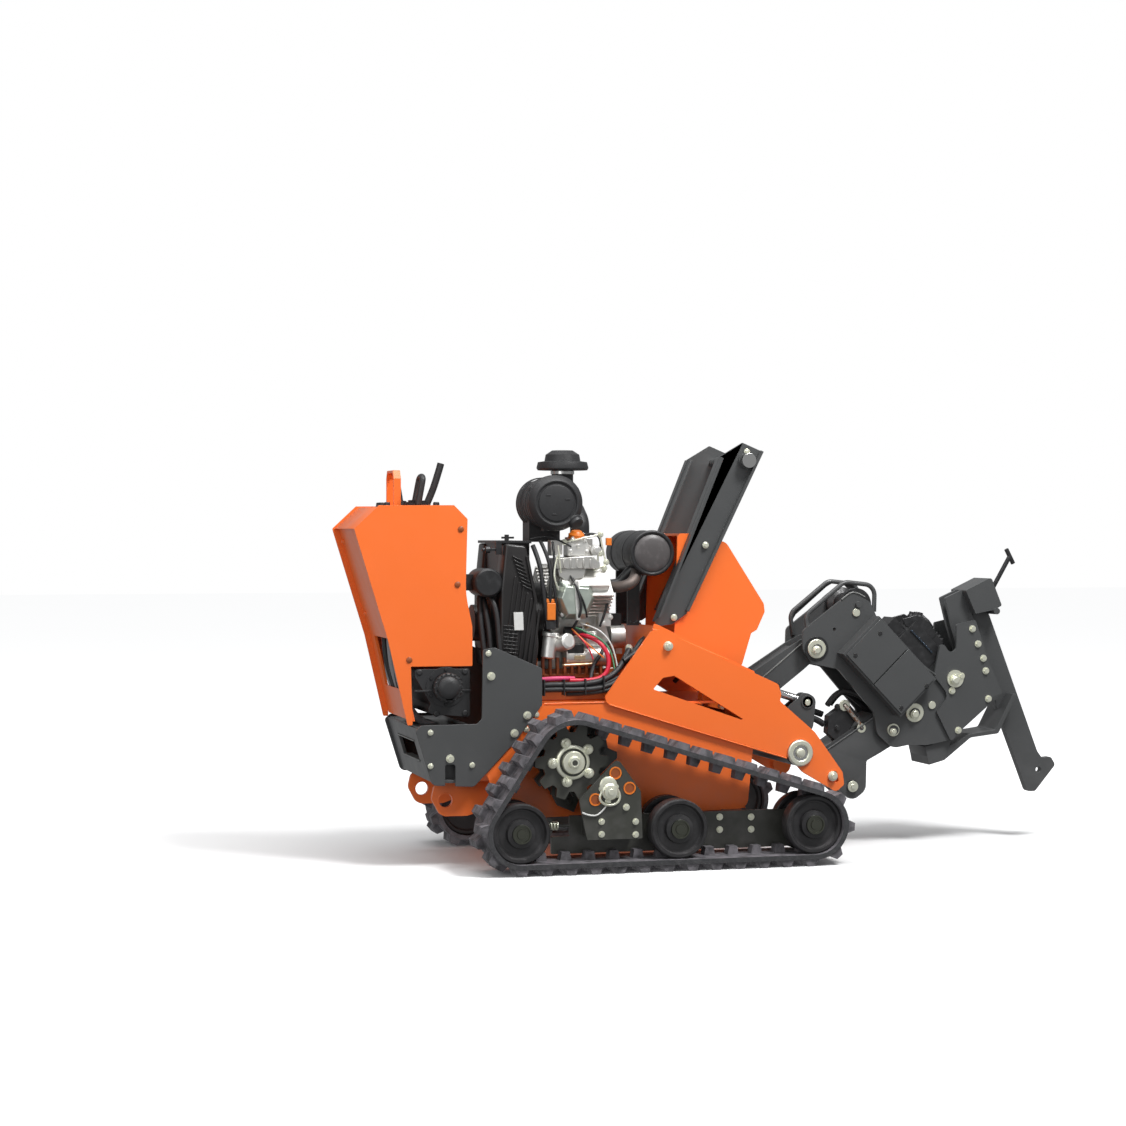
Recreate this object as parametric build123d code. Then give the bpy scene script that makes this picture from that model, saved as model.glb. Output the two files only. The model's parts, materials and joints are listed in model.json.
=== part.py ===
"""Tracked walk-behind vibratory plow: a petrol engine and a control tower on two rubber tracks, a cable
reel carrier, and a plow blade with its vibrator on a hydraulically lifted four-bar boom.

Millimetres, +Z up. +X points to the plow end, +Y to the machine's left when facing +X. While the pieces
are drawn, x is measured from the drive axle and z from the ground; place() then moves everything so that
the origin is the middle of the bottom of the whole machine's box.
"""
from build123d import *
import math
import os

# ---------------------------------------------------------------- tracks
TRACK_HALF = 434.0          # half of the overall width, outer edge of a belt
BELT_WIDTH = 180.0
BELT_PITCH = 72.0           # one tread lug to the next
BAND = 14.0                 # rubber carcass thickness
TREAD = 20.0                # outer lug height
GUIDE_HEIGHT = 24.0         # inner guide lug height
GUIDE_WIDTH = 36.0
WHEEL_R = 85.0
WHEEL_GAP = 0.6             # wheel rim to belt, and sprocket tooth to belt
REAR_WHEEL_X = -157.0
MID_WHEEL_X = 310.0
FRONT_WHEEL_X = 721.0
AXLE_Z = 316.0              # drive axle height
SPROCKET_TEETH = 10
SPROCKET_T = 14.0
RUN = 0.05                  # running clearance of a turning fit, all round
SLACK = 2.0                 # gap between neighbouring plates that move past each other

BELT_MID = TRACK_HALF - BELT_WIDTH / 2
SPROCKET_R = BELT_PITCH / (2 * math.sin(math.pi / SPROCKET_TEETH)) - BAND / 2
WHEEL_Z = TREAD + BAND + WHEEL_R + WHEEL_GAP
WHEELS = {"rear_idler": REAR_WHEEL_X, "mid_roller": MID_WHEEL_X, "front_idler": FRONT_WHEEL_X}
WHEEL_FACE = 72.0                         # outer face of the outer rim, from the belt's middle
WHEEL_AXLE_R = 17.0
FRAME_T = 12.0                            # track frame plate
FRAME_Y = BELT_MID - GUIDE_WIDTH / 2 - 6 - FRAME_T   # its inner face
FRAME_TOP = 156.0
FRAME_BOTTOM = 47.0

# ---------------------------------------------------------------- chassis
TUB_HALF = 228.0            # outside of the tub's side plates
TUB_T = 8.0
DECK_Z = 472.0
TUB_FRONT = 580.0
TIE_Y = 170.0               # tie-down hooks at the rear
TIE_HOLE = (-323, 194)
TIE_HOLE_R = 20.0
ARM_WINDOW = [(285, 509, 3), (315, 542, 5), (350, 548, 5), (576, 408, 2)]
ARM_T = 10.0
ARM_OUT = TUB_HALF + ARM_T

# ---------------------------------------------------------------- boom linkage: pins, in x and z
BOOM_PIN = (741.0, 312.0)
BOOM_END = (1105.0, 360.0)
LINK_TOP = (854.0, 613.0)
LINK_FOOT = (657.0, 467.0)
CYLINDER_FOOT = (489.0, 553.0)
CYLINDER_EYE = (788.0, 459.0)
BOOM_PIN_R = 24.0
END_PIN_R = 14.0
FOOT_PLAY = 5.0             # slack in the link's foot, which takes up the four-bar's error
EYE_PLAY = 6.5              # the same in the lift cylinder's eye
EYE_PIN_R = 9.0
BOOM_HALF = 64.0            # outside of the boom's beam
LINK_HALF = 43.0
LINK_BRACKET_Y = 100.0         # inner face of the brackets of the upper link's foot
PLOW_IN = BOOM_HALF + SLACK + 2           # plow frame plates, inner face
PLOW_T = 12.0
PLOW_OUT = PLOW_IN + PLOW_T
HUB_R = 40.0
CYLINDER_Y = -155.0
BARREL_R = 28.0
PISTON_R = 22.0
ROD_R = 12.0
EYE_HALF = 11.0
BARREL_END = 218.0          # from the cylinder's foot pin
BARREL_WALL = 15.0

# ---------------------------------------------------------------- vibrator and blade
TILT = 46.0                 # the vibrator box leans this many degrees, nose down
BOX_MID = (1074.0, 558.0)
BOX_LONG = 272.0
BOX_SHORT = 164.0
BOX_HALF = 132.0
BOX_WALL = 14.0
ECC_OFFSET = 58.0           # each eccentric shaft from the box's middle, along its long side
ECC_SHAFT_R = 18.0
ECC_R = 46.0
BLADE_HALF = 12.5
PULLER_HOLE = (1628, 218)   # takes the cable puller's pin
PULLER_HOLE_R = 9.0
BRACKET_Y = PLOW_OUT        # blade brackets are bolted on the plow frame's outside
BRACKET_T = 10.0
SHEAVE = (989, 747)         # axle of the cable guide roller
SHEAVE_R = 50.0

# ---------------------------------------------------------------- reel carrier and hood
HOOD_HALF = 150.0
HOOD_T = 5.0
UPRIGHT_Y = HOOD_HALF + 2.0
UPRIGHT_T = 7.0
UPRIGHT_FLANGE = 24.0
REEL_AXLE = (598, 1182)
REEL_AXLE_R = 12.5

# ---------------------------------------------------------------- tower
TOWER_HALF = 188.0
TOWER_T = 5.0
BAR_R = 7.0                 # round bar of the handles
LOOP_HALF = 26.0            # half the width of a drive lever's loop
DRIVE_PIVOT = (-400.0, 1010.0)
LIFT_PIVOT = (-359.0, 1010.0)
LEVER_SHAFT_R = 5.0
GUARD_HALF = 236.0
GUARD_T = 8.0

# ---------------------------------------------------------------- engine
CRANK_Z = 700.0
SUMP_Z = 552.0
CANISTER_R = 70.0
MUFFLER_R = 66.0

Y_AXIS = Vector(0, 1, 0)


# ================================================================ drawing helpers
def at(axis, u, v, w):
    """The point at (u, v) in the plane across an axis, w along it."""
    return {"x": Vector(w, u, v), "y": Vector(u, w, v), "z": Vector(u, v, w)}[axis]


def outline(points, axis, w):
    """A closed wire through (u, v) or (u, v, corner radius) points in the plane across an axis."""
    flat = [(Vector(p[0], p[1]), p[2] if len(p) > 2 else 0.0) for p in points]
    edges = []
    ends = []
    for i, (corner, radius) in enumerate(flat):
        before, after = flat[i - 1][0], flat[(i + 1) % len(flat)][0]
        if radius <= 0:
            ends.append((corner, corner))
            continue
        a, b = (before - corner).normalized(), (after - corner).normalized()
        half = math.acos(max(-1.0, min(1.0, a.dot(b)))) / 2
        reach = radius / math.tan(half)
        start, stop = corner + a * reach, corner + b * reach
        centre = corner + (a + b).normalized() * (radius / math.sin(half))
        mid = centre + (corner - centre).normalized() * radius
        edges.append(Edge.make_three_point_arc(*[at(axis, p.X, p.Y, w) for p in (start, mid, stop)]))
        ends.append((start, stop))
    for i, (_, stop) in enumerate(ends):
        start = ends[(i + 1) % len(ends)][0]
        if (start - stop).length > 1e-6:
            edges.append(Edge.make_line(at(axis, stop.X, stop.Y, w), at(axis, start.X, start.Y, w)))
    return Wire(edges)


def ring(u, v, r, axis, w):
    """A round wire about (u, v) in the plane across an axis."""
    return Wire.make_circle(r, Plane(origin=at(axis, u, v, w), z_dir=at(axis, 0, 0, 1)))


def slab(points, axis, low, high, holes=(), windows=()):
    """A plate with a drawn outline, from low to high along an axis, with round holes and drawn windows."""
    inner = [ring(u, v, r, axis, low) for u, v, r in holes]
    inner += [outline(w, axis, low) for w in windows]
    return Solid.extrude(Face(outline(points, axis, low), inner), at(axis, 0, 0, high - low))


def box(low, high):
    """A block between two corners."""
    size = Vector(*high) - Vector(*low)
    return Solid.make_box(size.X, size.Y, size.Z, Plane(origin=low))


def rod(start, stop, r):
    """A round bar between two points."""
    start, stop = Vector(*start), Vector(*stop)
    return Solid.make_cylinder(r, (stop - start).length, Plane(origin=start, z_dir=stop - start))


def across(pin, low, high, r):
    """A round bar along Y at a pin's (x, z)."""
    return rod((pin[0], low, pin[1]), (pin[0], high, pin[1]), r)


def tube(start, stop, r, bore):
    """A round tube between two points."""
    start, stop = Vector(*start), Vector(*stop)
    end = Plane(origin=start, z_dir=stop - start)
    face = Face(Wire.make_circle(r, end), [Wire.make_circle(bore, end)])
    return Solid.extrude(face, stop - start)


def turned(profile, pin, y0, sign=1.0):
    """A solid turned about Y at a pin's (x, z); the profile is (radius, distance from y0) points."""
    wire = Wire.make_polygon([Vector(pin[0] + r, y0 + sign * d, pin[1]) for r, d in profile])
    return Solid.revolve(Face(wire), 360, Axis((pin[0], y0, pin[1]), (0, 1, 0)))


def bent_bar(points, r, bend):
    """A round bar bent through points, with one bend radius."""
    path = FilletPolyline(*points, radius=bend)
    start = path @ 0
    return sweep(Plane(origin=start, z_dir=path % 0) * Circle(r), path=path)


def join(*shapes):
    return shapes[0].fuse(*shapes[1:]) if len(shapes) > 1 else shapes[0]


def cut(shape, *tools):
    return shape.cut(*tools)


def mirrored(shape):
    """The same piece on the other side of the machine."""
    return shape.mirror(Plane.XZ)


def both(shape):
    return [shape, mirrored(shape)]


def bolt(pin, face, out, head_r=9.0, washer_r=14.0, shank=10.0):
    """A hexagon bolt with a washer on a plate whose face is at y = face; out is +1 or -1, away from it."""
    washer = across(pin, face, face + out * 2.5, washer_r)
    corners = [(pin[0] + head_r * math.cos(a), pin[1] + head_r * math.sin(a))
               for a in (math.pi / 3 * k for k in range(6))]
    low, high = sorted((face + out * 2.5, face + out * (2.5 + head_r * 0.8)))
    return join(washer, slab(corners, "y", low, high))


# ================================================================ tracks
def loop(extra):
    """The belt's path as (centre, radius) of the rounds that it wraps, grown by extra, anticlockwise."""
    return [((REAR_WHEEL_X, WHEEL_Z), WHEEL_R + WHEEL_GAP + extra),
            ((FRONT_WHEEL_X, WHEEL_Z), WHEEL_R + WHEEL_GAP + extra),
            ((0.0, AXLE_Z), SPROCKET_R + extra)]


def loop_parts(extra):
    """Straight runs and arcs of the belt's path: (start, stop) pairs of each run, in order."""
    rounds = loop(extra)
    runs = []
    for i, (c0, r0) in enumerate(rounds):
        c1, r1 = rounds[(i + 1) % len(rounds)]
        d = Vector(c1[0] - c0[0], c1[1] - c0[1])
        along = d.normalized()
        out = Vector(along.Y, -along.X)
        s = (r0 - r1) / d.length
        n = along * s + out * math.sqrt(1 - s * s)
        runs.append((Vector(*c0) + n * r0, Vector(*c1) + n * r1, n))
    return rounds, runs


def loop_wire(extra, y):
    rounds, runs = loop_parts(extra)
    edges = []
    for i, (start, stop, n) in enumerate(runs):
        edges.append(Edge.make_line(at("y", start.X, start.Y, y), at("y", stop.X, stop.Y, y)))
        centre, radius = rounds[(i + 1) % len(rounds)]
        following = runs[(i + 1) % len(runs)]
        mid = Vector(*centre) + (n + following[2]).normalized() * radius
        pts = [at("y", p.X, p.Y, y) for p in (stop, mid, following[0])]
        edges.append(Edge.make_three_point_arc(*pts))
    return Wire(edges)


def loop_stations(count, shift=0.0):
    """Points and outward normals evenly spaced along the belt's inner face."""
    rounds, runs = loop_parts(0.0)
    pieces = []
    for i, (start, stop, n) in enumerate(runs):
        pieces.append(("run", (stop - start).length, start, stop, n))
        centre, radius = rounds[(i + 1) % len(rounds)]
        a0 = math.atan2(n.Y, n.X)
        following = runs[(i + 1) % len(runs)][2]
        sweep_angle = (math.atan2(following.Y, following.X) - a0) % (2 * math.pi)
        pieces.append(("arc", radius * sweep_angle, Vector(*centre), radius, (a0, sweep_angle)))
    total = sum(p[1] for p in pieces)
    stations = []
    for k in range(count):
        s = (k + shift) * total / count % total
        for kind, length, a, b, c in pieces:
            if s > length:
                s -= length
                continue
            if kind == "run":
                stations.append((a + (b - a) * (s / length), c))
            else:
                angle = c[0] + c[1] * s / length
                n = Vector(math.cos(angle), math.sin(angle))
                stations.append((a + n * b, n))
            break
    return stations, total


def lug(station, base, top, foot, height, low, high):
    """A tapered block on the belt: base and top lengths along it, from foot outwards by height."""
    point, n = station
    t = Vector(-n.Y, n.X)
    sunk = point + n * foot
    tip = point + n * (foot + height)
    corners = [sunk - t * (base / 2), sunk + t * (base / 2), tip + t * (top / 2), tip - t * (top / 2)]
    return slab([(c.X, c.Y) for c in corners], "y", low, high)


def track_belt():
    """The left belt: a carcass with two staggered rows of tread lugs and one row of guide lugs."""
    _, total = loop_stations(1)
    count = round(total / BELT_PITCH)
    inner, outer = BELT_MID - BELT_WIDTH / 2, BELT_MID + BELT_WIDTH / 2
    face = Face(loop_wire(BAND, inner), [loop_wire(0.0, inner)])
    belt = Solid.extrude(face, Y_AXIS * BELT_WIDTH)
    bite = 3.0
    lugs = []
    for station in loop_stations(count, 0.0)[0]:
        lugs.append(lug(station, 40, 22, BAND - bite, TREAD + bite, BELT_MID - 8, outer - 4))
        lugs.append(lug(station, 34, 24, bite, -GUIDE_HEIGHT - bite,
                        BELT_MID - GUIDE_WIDTH / 2, BELT_MID + GUIDE_WIDTH / 2))
    for station in loop_stations(count, 0.5)[0]:
        lugs.append(lug(station, 40, 22, BAND - bite, TREAD + bite, inner + 4, BELT_MID + 8))
    return join(belt, *lugs)


def wheel(x):
    """A left road wheel: two dished rims on one axle, which turns in the track frame's bore."""
    face, web, r, a = WHEEL_FACE, 12.0, WHEEL_R, WHEEL_AXLE_R
    inner = FRAME_Y - BELT_MID - SLACK       # inner rim's outer side, next to the frame plate
    groove = GUIDE_WIDTH / 2 + 4             # inner side of the outer rim, clear of the guide lugs
    outer_rim = [(0, face + 6), (24, face + 6), (26, face - web), (r - 16, face - web), (r - 12, face),
                 (r - 3, face), (r, face - 3), (r, groove + 3), (r - 3, groove), (a + 10, groove)]
    axle = [(a + 10, groove - 2), (a, groove - 2), (a, inner), (a + 12, inner)]
    inner_rim = [(a + 14, inner - 4), (r - 14, inner - 4), (r - 12, inner), (r - 3, inner), (r, inner - 3),
                 (r, -face + 3), (r - 3, -face), (r - 12, -face), (r - 16, -face + web), (28, -face + web),
                 (26, -face), (0, -face)]
    return turned(outer_rim + axle + inner_rim, (x, WHEEL_Z), BELT_MID)


def toothed_plate(low):
    """The sprocket's toothed ring, seen along its axle."""
    tip = SPROCKET_R - WHEEL_GAP
    root = tip - 24
    step = 2 * math.pi / SPROCKET_TEETH
    points = []
    for k in range(SPROCKET_TEETH):
        for share, r in ((-0.2, tip), (0.2, tip), (0.36, root), (0.64, root)):
            a = (k + share) * step
            points.append((r * math.cos(a), AXLE_Z + r * math.sin(a), 3.0))
    return slab(points, "y", low, low + SPROCKET_T)


def sprocket():
    """The left drive sprocket: two toothed plates astride the guide lugs, a drum and a hub with five ears."""
    low, high = FRAME_Y, BELT_MID + GUIDE_WIDTH / 2 + 4
    drum = across((0, AXLE_Z), low + 1, high + 1, 62)
    hub_y = high + SPROCKET_T
    hub = turned([(0, -1), (47, -1), (47, 10), (40, 12), (30, 12), (30, 22), (16, 24), (14, 34), (0, 34)],
                 (0, AXLE_Z), hub_y)
    ears = []
    for k in range(5):
        a = math.radians(90 + 72 * k + 20)
        pin = (58 * math.cos(a), AXLE_Z + 58 * math.sin(a))
        ears.append(across(pin, hub_y - 1, hub_y + 10, 14))
        ears.append(bolt(pin, hub_y + 9.5, 1, 8.0, 11.0))
    stub = across((0, AXLE_Z), low - 30, low + 1, 30)
    return join(toothed_plate(low), toothed_plate(high), drum, hub, stub, *ears)


def track_frame():
    """The left track frame: the bearing plate, the idler yoke with its screw, and the outer guard plate."""
    rear, front = REAR_WHEEL_X + 112, FRONT_WHEEL_X + 40
    y0, y1 = FRAME_Y, FRAME_Y + FRAME_T
    bores = [(x, WHEEL_Z, WHEEL_AXLE_R + RUN) for x in (MID_WHEEL_X, FRONT_WHEEL_X)]
    step_x = rear + 54
    plate = slab([(rear, FRAME_BOTTOM, 4), (front - 20, FRAME_BOTTOM, 18), (front, WHEEL_Z - 20, 18),
                  (front, FRAME_TOP - 12, 12), (front - 24, FRAME_TOP, 12), (step_x, FRAME_TOP, 4),
                  (step_x, WHEEL_Z - 22, 4), (rear, WHEEL_Z - 22, 4)], "y", y0, y1, bores)
    yoke = slab([(REAR_WHEEL_X - 32, WHEEL_Z - 30, 14), (rear + 2, WHEEL_Z - 16, 4),
                 (rear + 2, WHEEL_Z + 32, 8), (REAR_WHEEL_X - 32, WHEEL_Z + 30, 14)], "y", y0, y1,
                [(REAR_WHEEL_X, WHEEL_Z, WHEEL_AXLE_R + RUN)])
    screw_z = WHEEL_Z + 8
    screw = rod((rear + 1, (y0 + y1) / 2, screw_z), (step_x + 1, (y0 + y1) / 2, screw_z), 5.5)
    guard_y = BELT_MID + GUIDE_WIDTH / 2 + 4 + SPROCKET_T + 18
    guard = slab([(38, 95, 4), (14, 210, 8), (128, 326, 14), (197, 230, 14), (202, 95, 4)],
                 "y", guard_y, guard_y + 7, [(132, 280, 9), (173, 234, 9), (72, 205, 9)])
    posts = [box((x - 16, y1 - 1, 98), (x + 16, guard_y + 1, 148)) for x in (62.0, 180.0)]
    legs = [box((x - 28, TUB_HALF, 108), (x + 28, y0 + 1, 150)) for x in (141.0, 526.0)]
    return join(plate, yoke, screw, guard, *posts, *legs)


def drive_motors():
    """The two hydraulic wheel motors inside the tub, whose shafts carry the sprockets."""
    face = FRAME_Y - 30.5
    body = across((0, AXLE_Z), 90, TUB_HALF - TUB_T, 62)
    neck = across((0, AXLE_Z), TUB_HALF - TUB_T - 1, face, 44)
    ports = [rod((x, 130, AXLE_Z + 56), (x, 130, AXLE_Z + 84), 12) for x in (-26, 26)]
    motor = join(body, neck, *ports)
    return both(motor)


# ================================================================ chassis
def chassis_frame():
    """The welded tub: side plates, floor, decks and end walls, with the tie-down hooks at the rear."""
    inside = TUB_HALF - TUB_T
    side = slab([(-218, 281, 10), (-51, 468, 14), (268, 472, 6), (290, 703, 6), (602, 556, 6), (606, 414, 30),
                 (580, 150, 30), (-160, 141, 30)], "y", inside, TUB_HALF, [(0, AXLE_Z, 46)], [ARM_WINDOW])
    deck = box((-51, -inside - 1, DECK_Z - 8), (TUB_FRONT, inside + 1, DECK_Z - 1))
    floor = box((-146, -inside - 1, 146), (TUB_FRONT - 20, inside + 1, 154))
    front = box((TUB_FRONT - 12, -inside - 1, 150), (TUB_FRONT - 4, inside + 1, 430))
    rear = slab([(-212, 273), (-211, 282), (-56, 462), (-51, 457)], "y", -inside - 1, inside + 1)
    back = slab([(-197, 276), (-150, 141), (-145, 141), (-192, 276)], "y", -inside - 1, inside + 1)
    ramp = slab([(293, 694), (517, 589), (517, 582), (293, 686)], "y", -inside - 1, inside + 1)
    bulkhead = slab([(279, 468), (293, 688), (301, 688), (288, 468)], "y", -inside - 1, inside + 1)
    mount = box((-50, -110, DECK_Z - 1.5), (210, 110, SUMP_Z))
    hook = slab([(-365, 199, 26), (-338, 148, 30), (-258, 148, 12), (-147, 184, 6), (-150, 246, 6),
                 (-301, 246, 8), (-355, 243, 20)], "y", TIE_Y - 8, TIE_Y + 8, [(*TIE_HOLE, TIE_HOLE_R)])
    return join(side, mirrored(side), deck, floor, front, rear, back, ramp, bulkhead, mount,
                *link_brackets(), lift_foot(), hook, mirrored(hook))


def link_brackets():
    """The two inner plates in front of the tub, bored for the cross pin of the upper link's foot."""
    x, z = LINK_FOOT
    shape = [(TUB_FRONT - 30, 400, 4), (TUB_FRONT - 30, DECK_Z, 4), (x - 20, z + 26, 20),
             (x + 26, z + 26, 24), (x + 26, z - 26, 24), (x - 10, z - 40, 20)]
    plate = slab(shape, "y", LINK_BRACKET_Y, LINK_BRACKET_Y + 12, [(*LINK_FOOT, END_PIN_R)])
    return [plate, mirrored(plate)]


def arm_plates():
    """The two plates that carry the boom's pivot, each with the boss of the boom's stop behind its eye."""
    outer = [(279, 679, 8), (307, 684, 10), (673, 518, 12), (683, 488, 10), (679, 467, 8), (790, 372, 8),
             (878, 251, 12), (883, 214, 10), (858, 192, 14), (751, 254, 30), (713, 296, 12), (144, 471, 8),
             (139, 489, 8)]
    eye = [(823, 224, 8), (867, 218, 8), (857, 265, 8)]
    plate = slab(outer, "y", TUB_HALF, ARM_OUT, [(*BOOM_PIN, BOOM_PIN_R)], [ARM_WINDOW, eye])
    boss = across((848, 235), TUB_HALF - 24, TUB_HALF, 30)
    return both(join(plate, boss))


def boom_pivot_pin():
    """The pin of the boom, held by the arm plates, with a spacer ring at each end."""
    ends = [turned([(BOOM_PIN_R - 1, 0), (HUB_R, 0), (HUB_R, 7), (BOOM_PIN_R - 1, 7)], BOOM_PIN, y, s)
            for y, s in ((ARM_OUT, 1), (-ARM_OUT, -1))]
    return join(across(BOOM_PIN, -ARM_OUT - 6, ARM_OUT + 6, BOOM_PIN_R), *ends)


def chassis_bolts():
    """The bolts of the arm plates, track frames, uprights and guards, and the link foot's headed pin."""
    outside = [bolt((330, 635), ARM_OUT, 1), bolt((849, 236), TUB_HALF, 1, 7, 9.5)]
    frame_face = FRAME_Y + FRAME_T
    frame = [bolt(p, frame_face, 1, 7.0, 10.0)
             for p in ((462, 139), (462, 102), (559, 136), (559, 100))]
    guard_face = BELT_MID + GUIDE_WIDTH / 2 + 4 + SPROCKET_T + 25
    guard = [bolt(p, guard_face, 1, 6.5, 9.5) for p in ((80, 147), (80, 111), (181, 144), (181, 107))]
    guard.append(bolt((153, 186), guard_face, 1, 7.0, 10.0))
    plates = [bolt(p, GUARD_HALF, 1, 8.0, 12.0)
              for p in ((-202, 555), (-95, 440), (-133, 389), (-323, 320))]
    left = outside + frame + guard + plates
    end = LINK_BRACKET_Y + 12
    heads = [across(LINK_FOOT, y, y + 6, END_PIN_R + 8) for y in (-end - 6, end)]
    foot_pin = join(across(LINK_FOOT, -end - 1, end + 1, END_PIN_R), *heads)
    return left + [mirrored(b) for b in left] + [foot_pin]


# ================================================================ rear guards, bumper, tower
def rear_guards():
    """The two dark side guards at the rear."""
    shape = [(-424, 401, 10), (-407, 417, 10), (-243, 418, 8), (-229, 432, 8), (-226, 632, 10),
             (-191, 637, 10), (-50, 575, 8), (-50, 469, 8), (-126, 369, 20), (-252, 237, 20), (-307, 240, 3),
             (-307, 303, 8), (-337, 303, 8), (-337, 242, 3), (-375, 244, 20)]
    return both(slab(shape, "y", GUARD_HALF - GUARD_T, GUARD_HALF))


def rear_weight():
    """The rear bumper: a bent wall between the guards with its shelf and the tub's bracket."""
    inside = GUARD_HALF - GUARD_T
    wall = slab([(-417, 406), (-370, 250), (-361, 250), (-406, 408)], "y", -inside, inside)
    shelf = slab([(-410, 410), (-244, 410), (-244, 400), (-410, 400)], "y", -inside, inside)
    bottom = slab([(-370, 250), (-259, 248), (-259, 258), (-367, 259)], "y", -inside, inside)
    gap = box((-432, -120, 301), (-367, 120, 367))
    ribs = [box((-370, y - 5, 254), (-235, y + 5, 404)) for y in (-200.0, 200.0)]
    strut = [box((-249, y - 5, 282), (-226, y + 5, 310)) for y in (-200.0, 200.0)]
    return join(cut(wall, gap), shelf, bottom, *ribs, *strut)


def tower_side():
    """The tower's left side plate, with its folded front edge."""
    shape = [(-520, 1046, 4), (-300, 1047, 4), (-260, 1007, 6), (-266, 792, 300), (-246, 696, 30),
             (-246, 582, 4), (-427, 583, 4), (-422, 414, 4), (-437, 414, 4), (-494, 660, 40), (-592, 979, 6)]
    holes = [(-280, 978, 5), (-290, 818, 6), (-432, 602, 5)]
    return slab(shape, "y", TOWER_HALF - TOWER_T, TOWER_HALF, holes)


def tower_rear_panel():
    """The recessed rear panel, bent along the tower's slope, open at the bottom for the hoses."""
    inside = TOWER_HALF - TOWER_T
    skin = slab([(-573, 978), (-476, 660), (-467, 660), (-565, 978)], "y", -inside, inside)
    lip = slab([(-586, 979), (-517, 1042), (-511, 1042), (-573, 978)], "y", -inside, inside)
    lower = [slab([(-478, 667), (-421, 425), (-414, 425), (-469, 667)], "y", y0, y0 + 60)
             for y0 in (-inside, inside - 60)]
    bolts = []
    for x, z in ((-561, 940), (-494, 724)):
        for y in (-150.0, 150.0):
            bolts.append(rod((x - 8, y, z + 3), (x + 8, y, z - 2), 6))
    sill = slab([(-441, 512), (-421, 425), (-414, 425), (-433, 512)], "y", -inside, inside)
    return join(skin, lip, sill, *lower, *bolts)


def tower_deck():
    """The top deck with its orange guard hoop, the slots of the levers and the tower's front wall."""
    inside = TOWER_HALF - TOWER_T
    deck = slab([(-510, 1042), (-303, 1042), (-303, 1035), (-510, 1035)], "y", -inside, inside)
    front = slab([(-303, 1042), (-264, 1004), (-270, 998), (-306, 1035)], "y", -inside, inside)
    wall = slab([(-264, 1004), (-270, 792), (-250, 697), (-250, 583), (-256, 583), (-256, 697), (-275, 792),
                 (-270, 1000)], "y", -inside, inside)
    slots = [box((-451, y - 34, 1025), (-320, y + 34, 1053)) for y in (-95.0, 95.0)]
    slots.append(box((-415, -22, 1025), (-320, 22, 1053)))
    strap = [(-58, 1040), (-58, 1126), (-44, 1150), (44, 1150), (58, 1126), (58, 1040)]
    inner = [(50, 1040), (50, 1123), (40, 1142), (-40, 1142), (-50, 1123), (-50, 1040)]
    hoop = slab([*strap, *inner], "x", -452, -430)
    return join(cut(deck, *slots), front, wall, hoop)


def drive_lever(y):
    """A closed loop handle for one track, with its pivot tube under the deck."""
    x0, z0 = DRIVE_PIVOT
    top = x0 - 19 if y > 0 else x0 + 23
    low, high = y - LOOP_HALF, y + LOOP_HALF
    loop = [(x0, low, z0), (top, low, 1130), (top, high, 1130), (x0, high, z0)]
    hub = rod((x0, low - 6, z0), (x0, high + 6, z0), 11)
    bore = rod((x0, low - 7, z0), (x0, high + 7, z0), LEVER_SHAFT_R + RUN)
    return cut(join(bent_bar(loop, BAR_R, 13), hub), bore)


def lift_lever():
    """The long single lever that raises and lowers the plow."""
    x0, z0 = LIFT_PIVOT
    stick = bent_bar([(x0, 0, z0), (-324, 0, 1090), (-300, 0, 1168)], BAR_R, 60)
    hub = rod((x0, -18, z0), (x0, 18, z0), 11)
    knob = rod((-305, 0, 1150), (-299, 0, 1172), 10)
    bore = rod((x0, -19, z0), (x0, 19, z0), LEVER_SHAFT_R + RUN)
    return cut(join(stick, hub, knob), bore)


def lever_shafts():
    """The fixed shafts of the levers, carried by a bracket under the deck."""
    inside = TOWER_HALF - TOWER_T
    drive = across(DRIVE_PIVOT, -inside, inside, LEVER_SHAFT_R)
    lift = across(LIFT_PIVOT, -50, 50, LEVER_SHAFT_R)
    plates = [box((-409, y - 3, 998), (-350, y + 3, 1035)) for y in (-50.0, 50.0)]
    return join(drive, lift, *plates)


# ================================================================ tank, filter, battery
def fuel_tank():
    """The black moulded tank under the tower with its filler neck on the sloping face."""
    half = TOWER_HALF - 1
    body = slab([(-415, 575, 10), (-253, 575, 10), (-253, 434, 10), (-380, 446, 12), (-369, 475, 8),
                 (-415, 553, 8)], "y", -half, half)
    neck = turned([(0, 0), (38, 0), (38, 12), (32, 14), (32, 24), (0, 24)], (-325, 523), -half + 1, -1)
    return join(body, neck)


def fuel_cap():
    """The filler cap: a knurled disc on the tank's neck."""
    face = -(TOWER_HALF - 1) + 1 - 24 - 0.3
    cap = turned([(0, 0), (42, 0), (42, 14), (38, 18), (0, 18)], (-325, 523), face, -1)
    grips = [box((-325 - 34, face - 24, 523 - 6), (-325 + 34, face - 17, 523 + 6))]
    return join(cap, *grips)


def hydraulic_filter():
    """The black canister between tower and engine, lying across the machine, on its bracket."""
    can = turned([(0, 0), (36, 0), (42, 6), (42, 112), (34, 118), (0, 118)], (-195, 822), -178, 1)
    bracket = box((-257, -130, 799), (-226, -90, 846))
    return join(can, bracket)


def battery():
    """The battery on the deck, on the left of the engine."""
    x, y = 92.0, 112.0
    case = box((x, y, DECK_Z - 1), (x + 150, y + 96, DECK_Z + 150))
    posts = [rod((px, y + 30, DECK_Z + 149), (px, y + 30, DECK_Z + 164), 8) for px in (x + 24, x + 126)]
    return join(case, *posts)


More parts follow.
